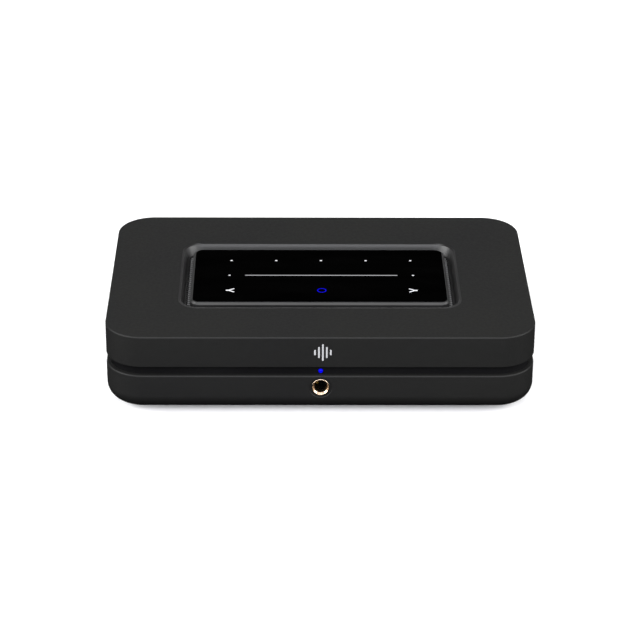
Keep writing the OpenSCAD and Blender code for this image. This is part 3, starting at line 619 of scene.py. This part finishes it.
def build_lower_shell():
    shell = plan_block("lower_shell", (-HALF_W, FRONT_Y, BASE_Z), (HALF_W, HALF_D, LOWER_RIM), CORNER,
                       CORNER_STEPS)
    round_edges(shell, rim(BASE_Z), BASE_ROUND, 12)
    round_edges(shell, rim(LOWER_RIM), EDGE, 3)
    hollow = plan_block("hollow", (-HALF_W + WALL, FRONT_Y + WALL, BASE_Z + WALL),
                        (HALF_W - WALL, HALF_D - WALL, LOWER_RIM + WALL), CORNER - WALL, CORNER_STEPS)
    round_edges(hollow, rim(BASE_Z + WALL), BASE_ROUND - WALL, 6)
    mouth = turned("phone mouth", [(5.95 * MM, -1 * MM), (5.95 * MM, 0.3 * MM), (5.75 * MM, 0.5 * MM)],
                   (0, FRONT_Y, PHONE_Z), "Y", 64)
    through = add_rod("phone hole", (0, FRONT_Y + 2 * MM, PHONE_Z), 4.72 * MM, 8 * MM, "Y", 64)
    cut(shell, hollow, rear_notch("notch"), mouth, through)
    for x, y in BOSSES:
        cut(shell, add_rod("screw well", (x, y, BASE_Z), 3.1 * MM, 4.4 * MM, "Z", 32))
    for x, y in FEET:
        cut(shell, add_rod("foot seat", (x, y, BASE_Z), FOOT_R + 0.1 * MM, 1 * MM, "Z", 48))
    return show(shell, CASE_SHELL, ["lower_case"], angle=42)


def build_waist():
    slack = 0.02 * MM
    band = plan_block("waist_band", low_waist + Vector((slack, slack, 0)),
                      high_waist - Vector((slack, slack, 0)), CORNER - WALL - 0.1 * MM, CORNER_STEPS)
    inner = plan_block("inner", low_waist + mm(2, 2, -1), high_waist - mm(2, 2, -1), CORNER - WALL - 2 * MM,
                       CORNER_STEPS)
    cut(band, inner, rear_notch("notch"))
    cut(band, add_rod("lamp hole", (0, FRONT_Y + 4 * MM, LAMP_Z), 1.25 * MM, 6 * MM, "Y", 32))
    # the band's dark material is painted shade for its slot
    return show(band, WAIST_PAINTED_SHADE, ["mid_frame"])


LAMP_Z = 25.5 * MM


def build_lamp():
    low = span("status_lens")[0]
    dome = turned("waist_lamp", [(1.13 * MM, 3.1 * MM), (1.13 * MM, 0.75 * MM), (1.0 * MM, 0.35 * MM),
                                 (0.7 * MM, 0.1 * MM), (0.25 * MM, 0.0)], (0, low.y, LAMP_Z), "Y", 32)
    return show(dome, LAMP_BLUE, ["status_lens"])


# ---- touch panel -----------------------------------------------------------------------------

def build_glass():
    pane = plan_block("touch_pane", low_glass, high_glass, 4 * MM, 12)
    round_edges(pane, rim(high_glass.z), 0.12 * MM, 2)
    return show(pane, GLASS, ["touch_glass"])


def glass_window(bottom, top):
    """The opening under the glass, with a ledge left round it."""
    return plan_block("window", (low_glass.x + 4.3 * MM, low_glass.y + 4.5 * MM, bottom),
                      (high_glass.x - 4.3 * MM, high_glass.y - 4.5 * MM, top), 4 * MM, 8)


def build_rim():
    """The sloped rim that carries the glass."""
    slope = 1.0 * MM
    ledge = high_glass.z - low_glass.z + 0.2 * MM
    carrier = plan_block("glass_rim", low_carrier, high_carrier, 5.4 * MM, 12)
    round_edges(carrier, rim(high_carrier.z), slope, 1)
    round_edges(carrier, rim(high_carrier.z), 0.15 * MM, 2)
    seat = plan_block("seat", (low_glass.x - 0.05 * MM, low_glass.y - 0.05 * MM, high_glass.z - ledge),
                      (high_glass.x + 0.05 * MM, high_glass.y + 0.05 * MM, high_glass.z + WALL),
                      4.05 * MM, 12)
    cut(carrier, seat, glass_window(low_carrier.z - WALL, high_glass.z))
    return show(carrier, WELL, ["touch_carrier"])


VENT_PITCH = 2.4 * MM
VENT_ROWS = (1.15 * MM, 3.65 * MM)
VENT_HOLE = 1.1 * MM


def build_grille():
    """The vented floor of the well: two rows of holes, with a ribbed bar running between them."""
    floor_x = WELL_X - LEAN_X
    floor_y = WELL_Y - LEAN_Y
    corner = WELL_R - LEAN_X
    plate = plan_block("vent_floor", low_grille, high_grille, WELL_R + 2 * MM, 10)
    cut(plate, glass_window(low_grille.z - WALL, high_grille.z + WALL))
    holes = []
    ribs = []
    run_x = floor_x - corner
    run_y = floor_y - corner
    for side in (-1, 1):
        for across, reach, run in (("X", floor_y, run_x), ("Y", floor_x, run_y)):
            count = int(2 * run / VENT_PITCH)
            for i in range(count + 1):
                along = (i - count / 2) * VENT_PITCH
                for inset in VENT_ROWS:
                    out = side * (reach - inset)
                    holes.append(((along, out) if across == "X" else (out, along), 0))
                out = side * (reach - (VENT_ROWS[0] + VENT_ROWS[1]) / 2)
                ribs.append(((along, out) if across == "X" else (out, along), 0 if across == "X" else 90))
        for end in (-1, 1):
            turns = 4
            start = math.degrees(math.atan2(end, side))
            for k in range(1, turns + 1):
                angle = math.radians(start + (k - (turns + 1) / 2) * 90 / (turns + 1))
                for inset in VENT_ROWS:
                    reach = corner - inset
                    x = side * run_x + reach * math.cos(angle)
                    y = end * run_y + reach * math.sin(angle)
                    holes.append(((x, y), math.degrees(angle)))
                reach = corner - (VENT_ROWS[0] + VENT_ROWS[1]) / 2
                x = side * run_x + reach * math.cos(angle)
                y = end * run_y + reach * math.sin(angle)
                ribs.append(((x, y), math.degrees(angle) + 90))
    punch = add_box("punch", (-VENT_HOLE / 2, -VENT_HOLE / 2, low_grille.z - WALL),
                    (VENT_HOLE / 2, VENT_HOLE / 2, high_grille.z + WALL))
    round_edges(punch, upright, VENT_HOLE * 0.3, 2)
    cut(plate, scattered("punches", punch, holes))
    rib = add_box("rib", (-0.55 * MM, -0.8 * MM, high_grille.z - 0.1 * MM),
                  (0.55 * MM, 0.8 * MM, high_grille.z + 0.45 * MM))
    round_edges(rib, rim(high_grille.z + 0.45 * MM), 0.3 * MM, 2)
    ladder = scattered("vent_ribs", rib, ribs)
    floor = show(plate, WELL, ["vent_grille"])
    # the ribs' pale grey colour is painted light
    return floor, show(ladder, VENT_RIBS_PAINTED_LIGHT)


def scattered(name, unit, places):
    """Copies of a unit about the panel's centre, each at (x, y) with a turn in degrees, joined into one."""
    pieces = []
    for (x, y), turn in places:
        twin = unit.copy()
        twin.data = unit.data.copy()
        bpy.context.scene.collection.objects.link(twin)
        twin.location = (x, y + PANEL_SHIFT, 0)
        twin.rotation_euler = (0, 0, math.radians(turn))
        pieces.append(twin)
    bpy.context.view_layer.update()
    bpy.data.objects.remove(unit)
    return join(name, pieces)


ICON_LIFT = 0.03 * MM
ICON_X = 1.0 * MM
ICON_Y = tuple(PANEL_SHIFT + y * MM for y in (18, 0, -18))


def flat_icon(piece, material):
    """Finishes a print on the glass: smooth shading and its material, without weighted normals."""
    return show(piece, material, weighted=False)


def icon_box(name, centre, width, depth, turn=0.0, corner=0.3 * MM):
    x, y = centre
    z = high_glass.z
    piece = add_box(name, (-width / 2, -depth / 2, z - 0.05 * MM), (width / 2, depth / 2, z + ICON_LIFT))
    round_edges(piece, upright, min(corner, width * 0.45, depth * 0.45), 4)
    piece.rotation_euler = (0, 0, math.radians(turn))
    piece.location = (x, y, 0)
    return settle(piece, name)


def build_icons():
    """Touch marks: five presets, two dots and the volume line, back and next arrows, and a play ring."""
    reach = 48 * MM
    dots = [icon_box("dot", (ICON_X + i * reach / 2, ICON_Y[0]), 1.3 * MM, 1.1 * MM, corner=0.5 * MM)
            for i in range(-2, 3)]
    dots += [icon_box("dot", (ICON_X + side * reach * 1.015, ICON_Y[1]), 1.2 * MM, 1.0 * MM, corner=0.45 * MM)
             for side in (-1, 1)]
    arrows = []
    for side in (-1, 1):
        for lean in (-1, 1):
            middle = (ICON_X + side * (reach - 0.75 * MM), ICON_Y[2] + lean * 1.1 * MM)
            arm = icon_box("arm", middle, 3.3 * MM, 0.8 * MM, -side * lean * 33, 0.25 * MM)
            arrows.append(arm)
        arrows.append(icon_box("tip", (ICON_X + side * (reach + 1.1 * MM), ICON_Y[2]), 2.4 * MM, 1.2 * MM))
    flat_icon(join("preset_dots", dots), ICON_WHITE)
    flat_icon(join("skip_arrows", arrows), ICON_WHITE)
    line = icon_box("volume_line", (ICON_X, ICON_Y[1]), 80.8 * MM, 0.75 * MM)
    flat_icon(line, ICON_LINE)
    z = high_glass.z
    ring = turned("play_ring", [(2.45 * MM, -0.05 * MM), (2.45 * MM, ICON_LIFT), (1.95 * MM, ICON_LIFT),
                                (1.95 * MM, -0.05 * MM)], (ICON_X, ICON_Y[2], z), "Z", 48, ring=True)
    flat_icon(ring, ICON_BLUE)


# ---- headphone socket ------------------------------------------------------------------------

def build_phone_socket():
    low, high = span("headphone_bushing")
    bushing = turned("phone_bushing", [
        (3.25 * MM, 9 * MM), (3.25 * MM, 1.35 * MM), (3.4 * MM, 1.1 * MM), (4.0 * MM, 0.42 * MM),
        (4.12 * MM, 0.3 * MM), (4.3 * MM, 0.2 * MM), (4.5 * MM, 0.26 * MM), (4.62 * MM, 0.45 * MM),
        (4.65 * MM, 0.7 * MM), (4.65 * MM, 9 * MM)], (0, FRONT_Y, PHONE_Z), "Y", 96, ring=True)
    show(bushing, BUSHING, ["headphone_bushing"], angle=50)
    low, high = span("headphone_body")
    body = add_box("phone_body", low, high)
    soften(body, 0.3 * MM, 2)
    bore = add_rod("bore", (0, low.y + 8 * MM, PHONE_Z), 3.5 * MM, 22 * MM, "Y", 48)
    cut(body, bore)
    show(body, NYLON, ["headphone_body"])
    leaves = []
    for angle in (90, 210, 330):
        leaf = add_box("leaf", (-0.9 * MM, low.y + 3 * MM, 2.7 * MM), (0.9 * MM, low.y + 12 * MM, 3.0 * MM))
        select(leaf, "faces", lambda middle, normal: normal.y < -0.9)
        bpy.ops.mesh.extrude_region_move(TRANSFORM_OT_translate={"value": (0, -1.5 * MM, 0.45 * MM)})
        bpy.ops.object.mode_set(mode="OBJECT")
        soften(leaf, 0.06 * MM, 1, 20)
        leaf.rotation_euler = (0, math.radians(angle), 0)
        leaf.location = (0, 0, PHONE_Z)
        leaves.append(settle(leaf))
    show(join("phone_leaves", leaves), GOLD, ["headphone_contacts"])


# ---- feet and screws -------------------------------------------------------------------------

def build_feet():
    feet = []
    top = high_foot.z
    for x, y in FEET:
        foot = turned("foot", [
            (FOOT_R, top), (FOOT_R, 0.5 * MM), (FOOT_R - 0.2 * MM, 0.15 * MM), (FOOT_R - 0.5 * MM, 0.0),
            (5.6 * MM, 0.0), (5.4 * MM, 0.3 * MM), (4.6 * MM, 0.3 * MM), (4.4 * MM, 0.0), (3.6 * MM, 0.0),
            (3.5 * MM, 0.5 * MM), (0.4 * MM, 0.6 * MM)], (x, y, 0), "Z", 48)
        feet.append(foot)
    return show(join("rubber_feet", feet), RUBBER, ["feet"])


def screw_head(name, place, radius, height, axis, sign):
    """A pan head with a cross recess."""
    head = turned(name, [(radius, 0.0), (radius, height * 0.45), (radius * 0.9, height * 0.75),
                         (radius * 0.68, height * 0.94), (radius * 0.3, height)], (0, 0, 0), "Z", 32)
    for turn in (0, 90):
        slot = add_box("slot", (-radius * 0.58, -radius * 0.13, height * 0.45),
                       (radius * 0.58, radius * 0.13, height * 2))
        slot.rotation_euler = (0, 0, math.radians(turn))
        cut(head, settle(slot))
    soften(head, radius * 0.03, 1)
    if axis == "Z":
        head.rotation_euler = (math.pi if sign < 0 else 0, 0, 0.4)
    else:
        head.rotation_euler = (-math.pi / 2 * sign, 0.4, 0)
    head.location = place
    return settle(head, name)


def build_screws():
    low, high = span("case_screws")
    heads = [screw_head("case_screw", (x, y, low.z + 1.7 * MM), 2.8 * MM, 1.6 * MM, "Z", -1)
             for x, y in BOSSES]
    shanks = [add_rod("shank", (x, y, (low.z + 1.7 * MM + high.z) / 2), 1.5 * MM,
                      high.z - low.z - 1.7 * MM, "Z", 24) for x, y in BOSSES]
    show(join("case_screw_set", heads + shanks), ZINC, ["case_screws"])
    low, high = span("panel_screws")
    heads = [screw_head("panel_screw", (x * MM, PANEL_Y, z * MM), 2.6 * MM, 1.4 * MM, "Y", 1)
             for x, z in PANEL_SCREWS]
    shanks = [add_rod("shank", (x * MM, (low.y + PANEL_Y) / 2, z * MM), 1.4 * MM, PANEL_Y - low.y, "Y", 24)
              for x, z in PANEL_SCREWS]
    show(join("panel_screw_set", heads + shanks), BLACK_ZINC, ["panel_screws"])


# ---- rear tray and its sockets ---------------------------------------------------------------

PANEL_Y = 64 * MM
SOCKET_Y = 64.5 * MM
TRAY_WALL = 2 * MM
MINI_X = (38 * MM, 47 * MM, 56 * MM)
MINI_Z = 16.8 * MM
PANEL_SCREWS = ((-48, 30), (-48, 17), (72.25, 24))  # mm across and up
RCA_X = (66.5 * MM, 78 * MM)
RCA_Z = (18 * MM, 30 * MM)
RCA_R = 4.15 * MM
RCA_STEM_R = 3.9 * MM
RCA_BASE_Y = 64.1 * MM


def facing_back(y):
    return lambda middle, normal: normal.y > 0.9 and abs(middle.y - y) < 0.01 * MM


def build_tray():
    tray = add_box("connector_tray", low_tray, high_tray)
    round_edges(tray, front_to_back, 1.2 * MM, 4)
    sink_face(tray, facing_back(high_tray.y), TRAY_WALL, (0, PANEL_Y - high_tray.y, 0))
    soften(tray, 0.25 * MM, 2)
    for node in ("inlet_body", "optical_housing", "hdmi_shell", "usb_shell", "lan_shell"):
        low, high = span(node)
        if node == "inlet_body":
            low, high = low + mm(1.2, 0, 1.2), high - mm(1.2, 0, 1.2)
        cut(tray, add_box("window", (low.x - 0.15 * MM, low_tray.y - WALL, low.z - 0.15 * MM),
                          (high.x + 0.15 * MM, high_tray.y, high.z + 0.15 * MM)))
    for x in MINI_X:
        cut(tray, add_rod("hole", (x, PANEL_Y, MINI_Z), 3.1 * MM, 8 * MM, "Y", 40))
    for x in RCA_X:
        for z in RCA_Z:
            cut(tray, add_rod("hole", (x, PANEL_Y, z), RCA_STEM_R + 0.1 * MM, 8 * MM, "Y", 48))
    for x, z in PANEL_SCREWS:
        cut(tray, add_rod("hole", (x * MM, PANEL_Y, z * MM), 1.6 * MM, 8 * MM, "Y", 24))
    return show(tray, TRAY, ["rear_panel", "rear_bezel"])


def socket_shell(node, name, wall, depth, round_by=0.5 * MM):
    """A folded sheet shell: a box whose mouth is inset and sunk."""
    low, high = span(node)
    shell = add_box(name, low, high)
    round_edges(shell, front_to_back, round_by, 3)
    sink_face(shell, facing_back(high.y), wall, (0, -depth, 0))
    soften(shell, 0.08 * MM, 1)
    return shell


def build_data_sockets():
    low, high = span("usb_shell")
    usb = socket_shell("usb_shell", "usb_case", 0.45 * MM, 12.5 * MM)
    show(usb, TINPLATE, ["usb_shell"])
    low, high = span("usb_tongue")
    tongue = add_box("usb_blade", low, high)
    soften(tongue, 0.2 * MM, 2)
    show(tongue, TONGUE, ["usb_tongue"])
    pads = [add_box("pad", (low.x + (1.4 + i * 2.5) * MM, low.y + 2 * MM, low.z - 0.06 * MM),
                    (low.x + (2.4 + i * 2.5) * MM, high.y - 0.6 * MM, low.z + 0.1 * MM)) for i in range(4)]
    show(join("usb_pads", pads), GOLD)
    low, high = span("hdmi_shell")
    hdmi = add_box("hdmi_case", low, high)
    round_edges(hdmi, lambda m, along: abs(along.y) > 0.9 and m.z < (low.z + high.z) / 2, 1.5 * MM, 1)
    sink_face(hdmi, facing_back(high.y), 0.45 * MM, (0, -10.5 * MM, 0))
    soften(hdmi, 0.08 * MM, 1)
    show(hdmi, TINPLATE, ["hdmi_shell"])
    low, high = span("hdmi_tongue")
    blade = add_box("hdmi_blade", low, high)
    soften(blade, 0.15 * MM, 2)
    show(blade, NYLON, ["hdmi_tongue"])
    low, high = span("lan_shell")
    lan = add_box("network_case", low, high)
    round_edges(lan, front_to_back, 0.4 * MM, 3)
    mid_x = (low.x + high.x) / 2
    mid_z = (low.z + high.z) / 2
    cut(lan, add_box("bay", (mid_x - 6 * MM, high.y - 14 * MM, mid_z - 3.4 * MM),
                     (mid_x + 6 * MM, high.y + WALL, mid_z + 4.6 * MM)))
    cut(lan, add_box("key", (mid_x - 3 * MM, high.y - 12 * MM, mid_z - 5.2 * MM),
                     (mid_x + 3 * MM, high.y + WALL, mid_z - 3 * MM)))
    soften(lan, 0.12 * MM, 2)
    show(lan, TINPLATE, ["lan_shell"])


def build_inlet():
    low, high = span("inlet_body")
    mid = (low + high) / 2
    face_y = high.y
    body = add_box("inlet_block", (low.x + 1.2 * MM, low.y, low.z + 1.2 * MM),
                   (high.x - 1.2 * MM, SOCKET_Y, high.z - 1.2 * MM))
    flange = plan_flange("flange", (low.x, PANEL_Y + 0.05 * MM, low.z), (high.x, face_y, high.z), 2.2 * MM)
    hollow = add_box("hollow", (mid.x - 7.3 * MM, 52 * MM, mid.z - 4.35 * MM),
                     (mid.x + 7.3 * MM, face_y + WALL, mid.z + 4.35 * MM))
    round_edges(hollow, front_to_back, 4.3 * MM, 10)
    hollow_two = copy_to(hollow, (0, 0, 0), "hollow two")
    cut(body, hollow)
    cut(flange, hollow_two)
    block = join("mains_inlet", [body, flange])
    show(block, NYLON, ["inlet_body"])
    pins = []
    for side in (-1, 1):
        pins.append(turned("pin", [(1.2 * MM, 44 * MM), (1.2 * MM, 61 * MM), (1.05 * MM, 61.6 * MM),
                                   (0.6 * MM, 62 * MM)], (mid.x + side * 4.3 * MM, 0, mid.z), "Y", 24))
    show(join("inlet_pin_pair", pins), NICKEL, ["inlet_pins"])


def plan_flange(name, low, high, radius):
    """A plate with its corners rounded about Y and a soft front edge."""
    plate = add_box(name, low, high)
    round_edges(plate, front_to_back, radius, 6)
    return soften(plate, 0.25 * MM, 2)


def build_minijacks():
    for node, x in zip(("line_in_jack", "ir_jack", "trigger_jack"), MINI_X):
        low, high = span(node)
        block = add_box("block", low, (high.x, 61.9 * MM, high.z))
        soften(block, 0.2 * MM, 2)
        cut(block, add_rod("bore", (x, 60 * MM, MINI_Z), 1.8 * MM, 16 * MM, "Y", 32))
        nose = turned("nose", [(1.8 * MM, 61 * MM), (1.8 * MM, 64.0 * MM), (2.1 * MM, 64.4 * MM),
                               (2.8 * MM, 64.5 * MM), (3.0 * MM, 64.3 * MM), (3.0 * MM, 61 * MM)],
                      (x, 0, MINI_Z), "Y", 40, ring=True)
        show(join(node + "_piece", [block, nose]), NYLON, [node])


def build_phonos():
    low, high = span("rca_block")
    block = add_box("phono_block", low, high)
    soften(block, 0.3 * MM, 2)
    for x in RCA_X:
        for z in RCA_Z:
            cut(block, add_rod("seat", (x, 58 * MM, z), RCA_STEM_R + 0.05 * MM, 12 * MM, "Y", 40))
    show(block, NYLON, ["rca_block"])
    barrels = []
    contacts = []
    colours = {(0, 0): INSERT_ORANGE, (0, 1): INSERT_BLACK, (1, 0): INSERT_RED, (1, 1): INSERT_WHITE}
    inserts = []
    tip = span("rca_barrels")[1].y
    for i, x in enumerate(RCA_X):
        for j, z in enumerate(RCA_Z):
            barrels.append(turned("barrel", [
                (3.5 * MM, 53 * MM), (3.5 * MM, tip - 0.3 * MM), (3.7 * MM, tip - 0.05 * MM),
                (3.85 * MM, tip),
                (4.05 * MM, tip - 0.1 * MM), (RCA_R, tip - 0.4 * MM), (RCA_R, RCA_BASE_Y),
                (RCA_STEM_R, RCA_BASE_Y), (RCA_STEM_R, 53 * MM)], (x, 0, z), "Y", 64, ring=True))
            contacts.append(turned("contact", [
                (1.6 * MM, 58 * MM), (1.6 * MM, tip - 1.4 * MM), (1.8 * MM, tip - 1.2 * MM),
                (2.12 * MM, tip - 1.35 * MM), (2.15 * MM, 58 * MM)], (x, 0, z), "Y", 40, ring=True))
            insert = turned("phono_insert_%d" % (i * 2 + j + 1), [
                (2.2 * MM, 54 * MM), (2.2 * MM, tip - 0.9 * MM), (2.4 * MM, tip - 0.65 * MM),
                (3.2 * MM, tip - 0.6 * MM), (3.45 * MM, tip - 0.85 * MM), (3.45 * MM, 54 * MM)],
                (x, 0, z), "Y", 48, ring=True)
            inserts.append(show(insert, colours[(i, j)], ["rca_inserts"]))
    show(join("phono_barrels", barrels), NICKEL, ["rca_barrels"], angle=50)
    show(join("phono_contacts", contacts), GOLD, ["rca_contacts"], angle=50)


def build_optical():
    low, high = span("optical_housing")
    mid_x = (low.x + high.x) / 2
    hinge = span("shutter_pin")
    axis_y = (hinge[0].y + hinge[1].y) / 2
    axis_z = (hinge[0].z + hinge[1].z) / 2
    house = add_box("optical_case", low, high)
    soften(house, 0.25 * MM, 2)
    cut(house, add_box("throat", (mid_x - 3.3 * MM, 54 * MM, 14.7 * MM),
                       (mid_x + 3.3 * MM, 63.4 * MM, 22.2 * MM)))
    mouth = add_box("mouth", (mid_x - 2.7 * MM, 60 * MM, 15.2 * MM),
                    (mid_x + 2.7 * MM, high.y + WALL, 20.6 * MM))
    cut(house, mouth)
    cut(house, add_rod("seat", (mid_x, 51 * MM, 17.9 * MM), 1.8 * MM, 8 * MM, "Y", 24))
    cut(house, add_rod("pin seat", (mid_x, axis_y, axis_z), 0.51 * MM, 9.2 * MM, "X", 20))
    show(house, NYLON, ["optical_housing"])
    flap_low, flap_high = span("optical_shutter")
    flap = add_box("dust_shutter", (flap_low.x, axis_y - 0.4 * MM, flap_low.z),
                   (flap_high.x, axis_y + 0.4 * MM, axis_z - 0.2 * MM))
    soften(flap, 0.12 * MM, 2)
    boss = add_box("boss", (mid_x - 1.4 * MM, axis_y + 0.3 * MM, flap_low.z + 1.6 * MM),
                   (mid_x + 1.4 * MM, axis_y + 0.48 * MM, flap_low.z + 3.8 * MM))
    soften(boss, 0.07 * MM, 1)
    barrel = add_rod("barrel", (mid_x + 0.85 * MM, axis_y, axis_z), 0.95 * MM, 4.1 * MM, "X", 32)
    cut(barrel, add_rod("bore", (mid_x, axis_y, axis_z), 0.56 * MM, 10 * MM, "X", 32))
    show(join("dust_shutter", [flap, boss, barrel]), SHUTTER_ABS, ["optical_shutter"], body=SHUTTER)


# ---- pieces kept from the frame --------------------------------------------------------------

def finish_inner_nodes():
    """Boards, leads and small parts inside keep their shape and get their real finish."""
    slots = {part["node"]: part["material_slot"] for part in frame["record"]["subparts"]}
    for node, piece in frame["nodes"].items():
        piece.data.materials.clear()
        piece.data.materials.append(SLOT_MATERIALS[slots[node]])


# ---- camera, light and floor -----------------------------------------------------------------

def build_camera():
    """Long lens, from in front and above, turned a little to the right."""
    data = bpy.data.cameras.new("camera")
    data.sensor_width = 36
    data.lens = CAMERA_LENS
    data.clip_end = 50
    camera = bpy.data.objects.new("camera", data)
    bpy.context.scene.collection.objects.link(camera)
    yaw, pitch, roll = (math.radians(v) for v in CAMERA_TURN)
    turn = Matrix.Rotation(-yaw, 4, "Z") @ Matrix.Rotation(math.pi / 2 - pitch, 4, "X")
    camera.matrix_world = Matrix.Translation(mm(*CAMERA_AT)) @ turn @ Matrix.Rotation(roll, 4, "Z")
    bpy.context.scene.camera = camera


CAMERA_AT = (-16.4, -1151.7, 606.4)
CAMERA_TURN = (0.84, 27.034, 0.436)
CAMERA_LENS = 135.6


def softbox(name, azimuth, elevation, distance, size, power, tint=(1.0, 1.0, 1.0)):
    """A softbox aimed at the middle of the case, placed by its direction: azimuth 0 is the front."""
    turn, rise = math.radians(azimuth), math.radians(elevation)
    way = Vector((math.sin(turn) * math.cos(rise), -math.cos(turn) * math.cos(rise), math.sin(rise)))
    data = bpy.data.lights.new(name, "AREA")
    data.shape = "RECTANGLE"
    data.size, data.size_y = size
    data.energy = power
    data.color = tint
    light = bpy.data.objects.new(name, data)
    bpy.context.scene.collection.objects.link(light)
    light.location = way * distance + mm(0, 0, 25)
    light.rotation_euler = (-way).to_track_quat("-Z", "Y").to_euler()
    return light


FLOOR_GLOW = 0.08
FILL = 0.03


def build_floor():
    clear()
    bpy.ops.mesh.primitive_plane_add(size=4, location=(0, 0.4, 0))
    floor = settle(bpy.context.object, "floor")
    material, tree, shader, place = start("pale_paper_floor", Roughness=0.9, Specular_IOR_Level=0.0,
                                          Emission_Strength=FLOOR_GLOW)
    tone = two_tone(tree, noise(tree, place, 400, 2), "#f2f2f2", "#f6f6f6")
    tree.links.new(tone, shader.inputs["Base Color"])
    tree.links.new(tone, shader.inputs["Emission Color"])
    floor.data.materials.append(material)
    floor.visible_glossy = False
    floor.visible_diffuse = False


def build_world():
    """Pale all round to the eye, a dim fill on the object, and nothing for the glass to mirror."""
    world = bpy.data.worlds.new("studio")
    bpy.context.scene.world = world
    world.use_nodes = True
    tree = world.node_tree
    tree.nodes.clear()
    path = add(tree, "LightPath")
    fill = add(tree, "Math", {"operation": "MULTIPLY"}, {0: path.outputs["Is Diffuse Ray"]}).outputs["Value"]
    fill.node.inputs[1].default_value = FILL
    dim = add(tree, "Background", links={"Strength": fill}, Color=linear("#ffffff"))
    pale = add(tree, "Background", Color=linear("#ffffff"), Strength=1.0)
    mix = add(tree, "MixShader", links={0: path.outputs["Is Camera Ray"], 1: dim.outputs["Background"],
                                        2: pale.outputs["Background"]})
    add(tree, "OutputWorld", links={"Surface": mix.outputs["Shader"]})
    bpy.context.scene.view_settings.view_transform = "Standard"


def build_lights():
    """An overhead softbox, a middle and a low one in front, one at each side, and a strip behind."""
    cool = (0.94, 0.95, 1.0)
    softbox("overhead softbox", 0, 80, 1.5, (1.6, 1.2), 17)
    softbox("front softbox", 0, 35, 1.5, (1.4, 0.5), 15.2, cool)
    softbox("low front strip", 0, 14, 1.9, (2.4, 0.3), 18, cool)
    softbox("left softbox", -72, 25, 1.6, (1.5, 1.1), 42)
    softbox("right softbox", 72, 25, 1.6, (1.5, 1.1), 34)
    softbox("back strip", 180, 10, 1.8, (2.2, 0.3), 2.4)


build_camera()
build_floor()
build_world()
build_lights()
finish_inner_nodes()
build_top_shell()
build_mark()
build_lower_shell()
build_waist()
build_lamp()
build_glass()
build_rim()
build_grille()
build_icons()
build_phone_socket()
build_feet()
build_tray()
build_screws()
build_data_sockets()
build_inlet()
build_minijacks()
build_phonos()
build_optical()

clear()
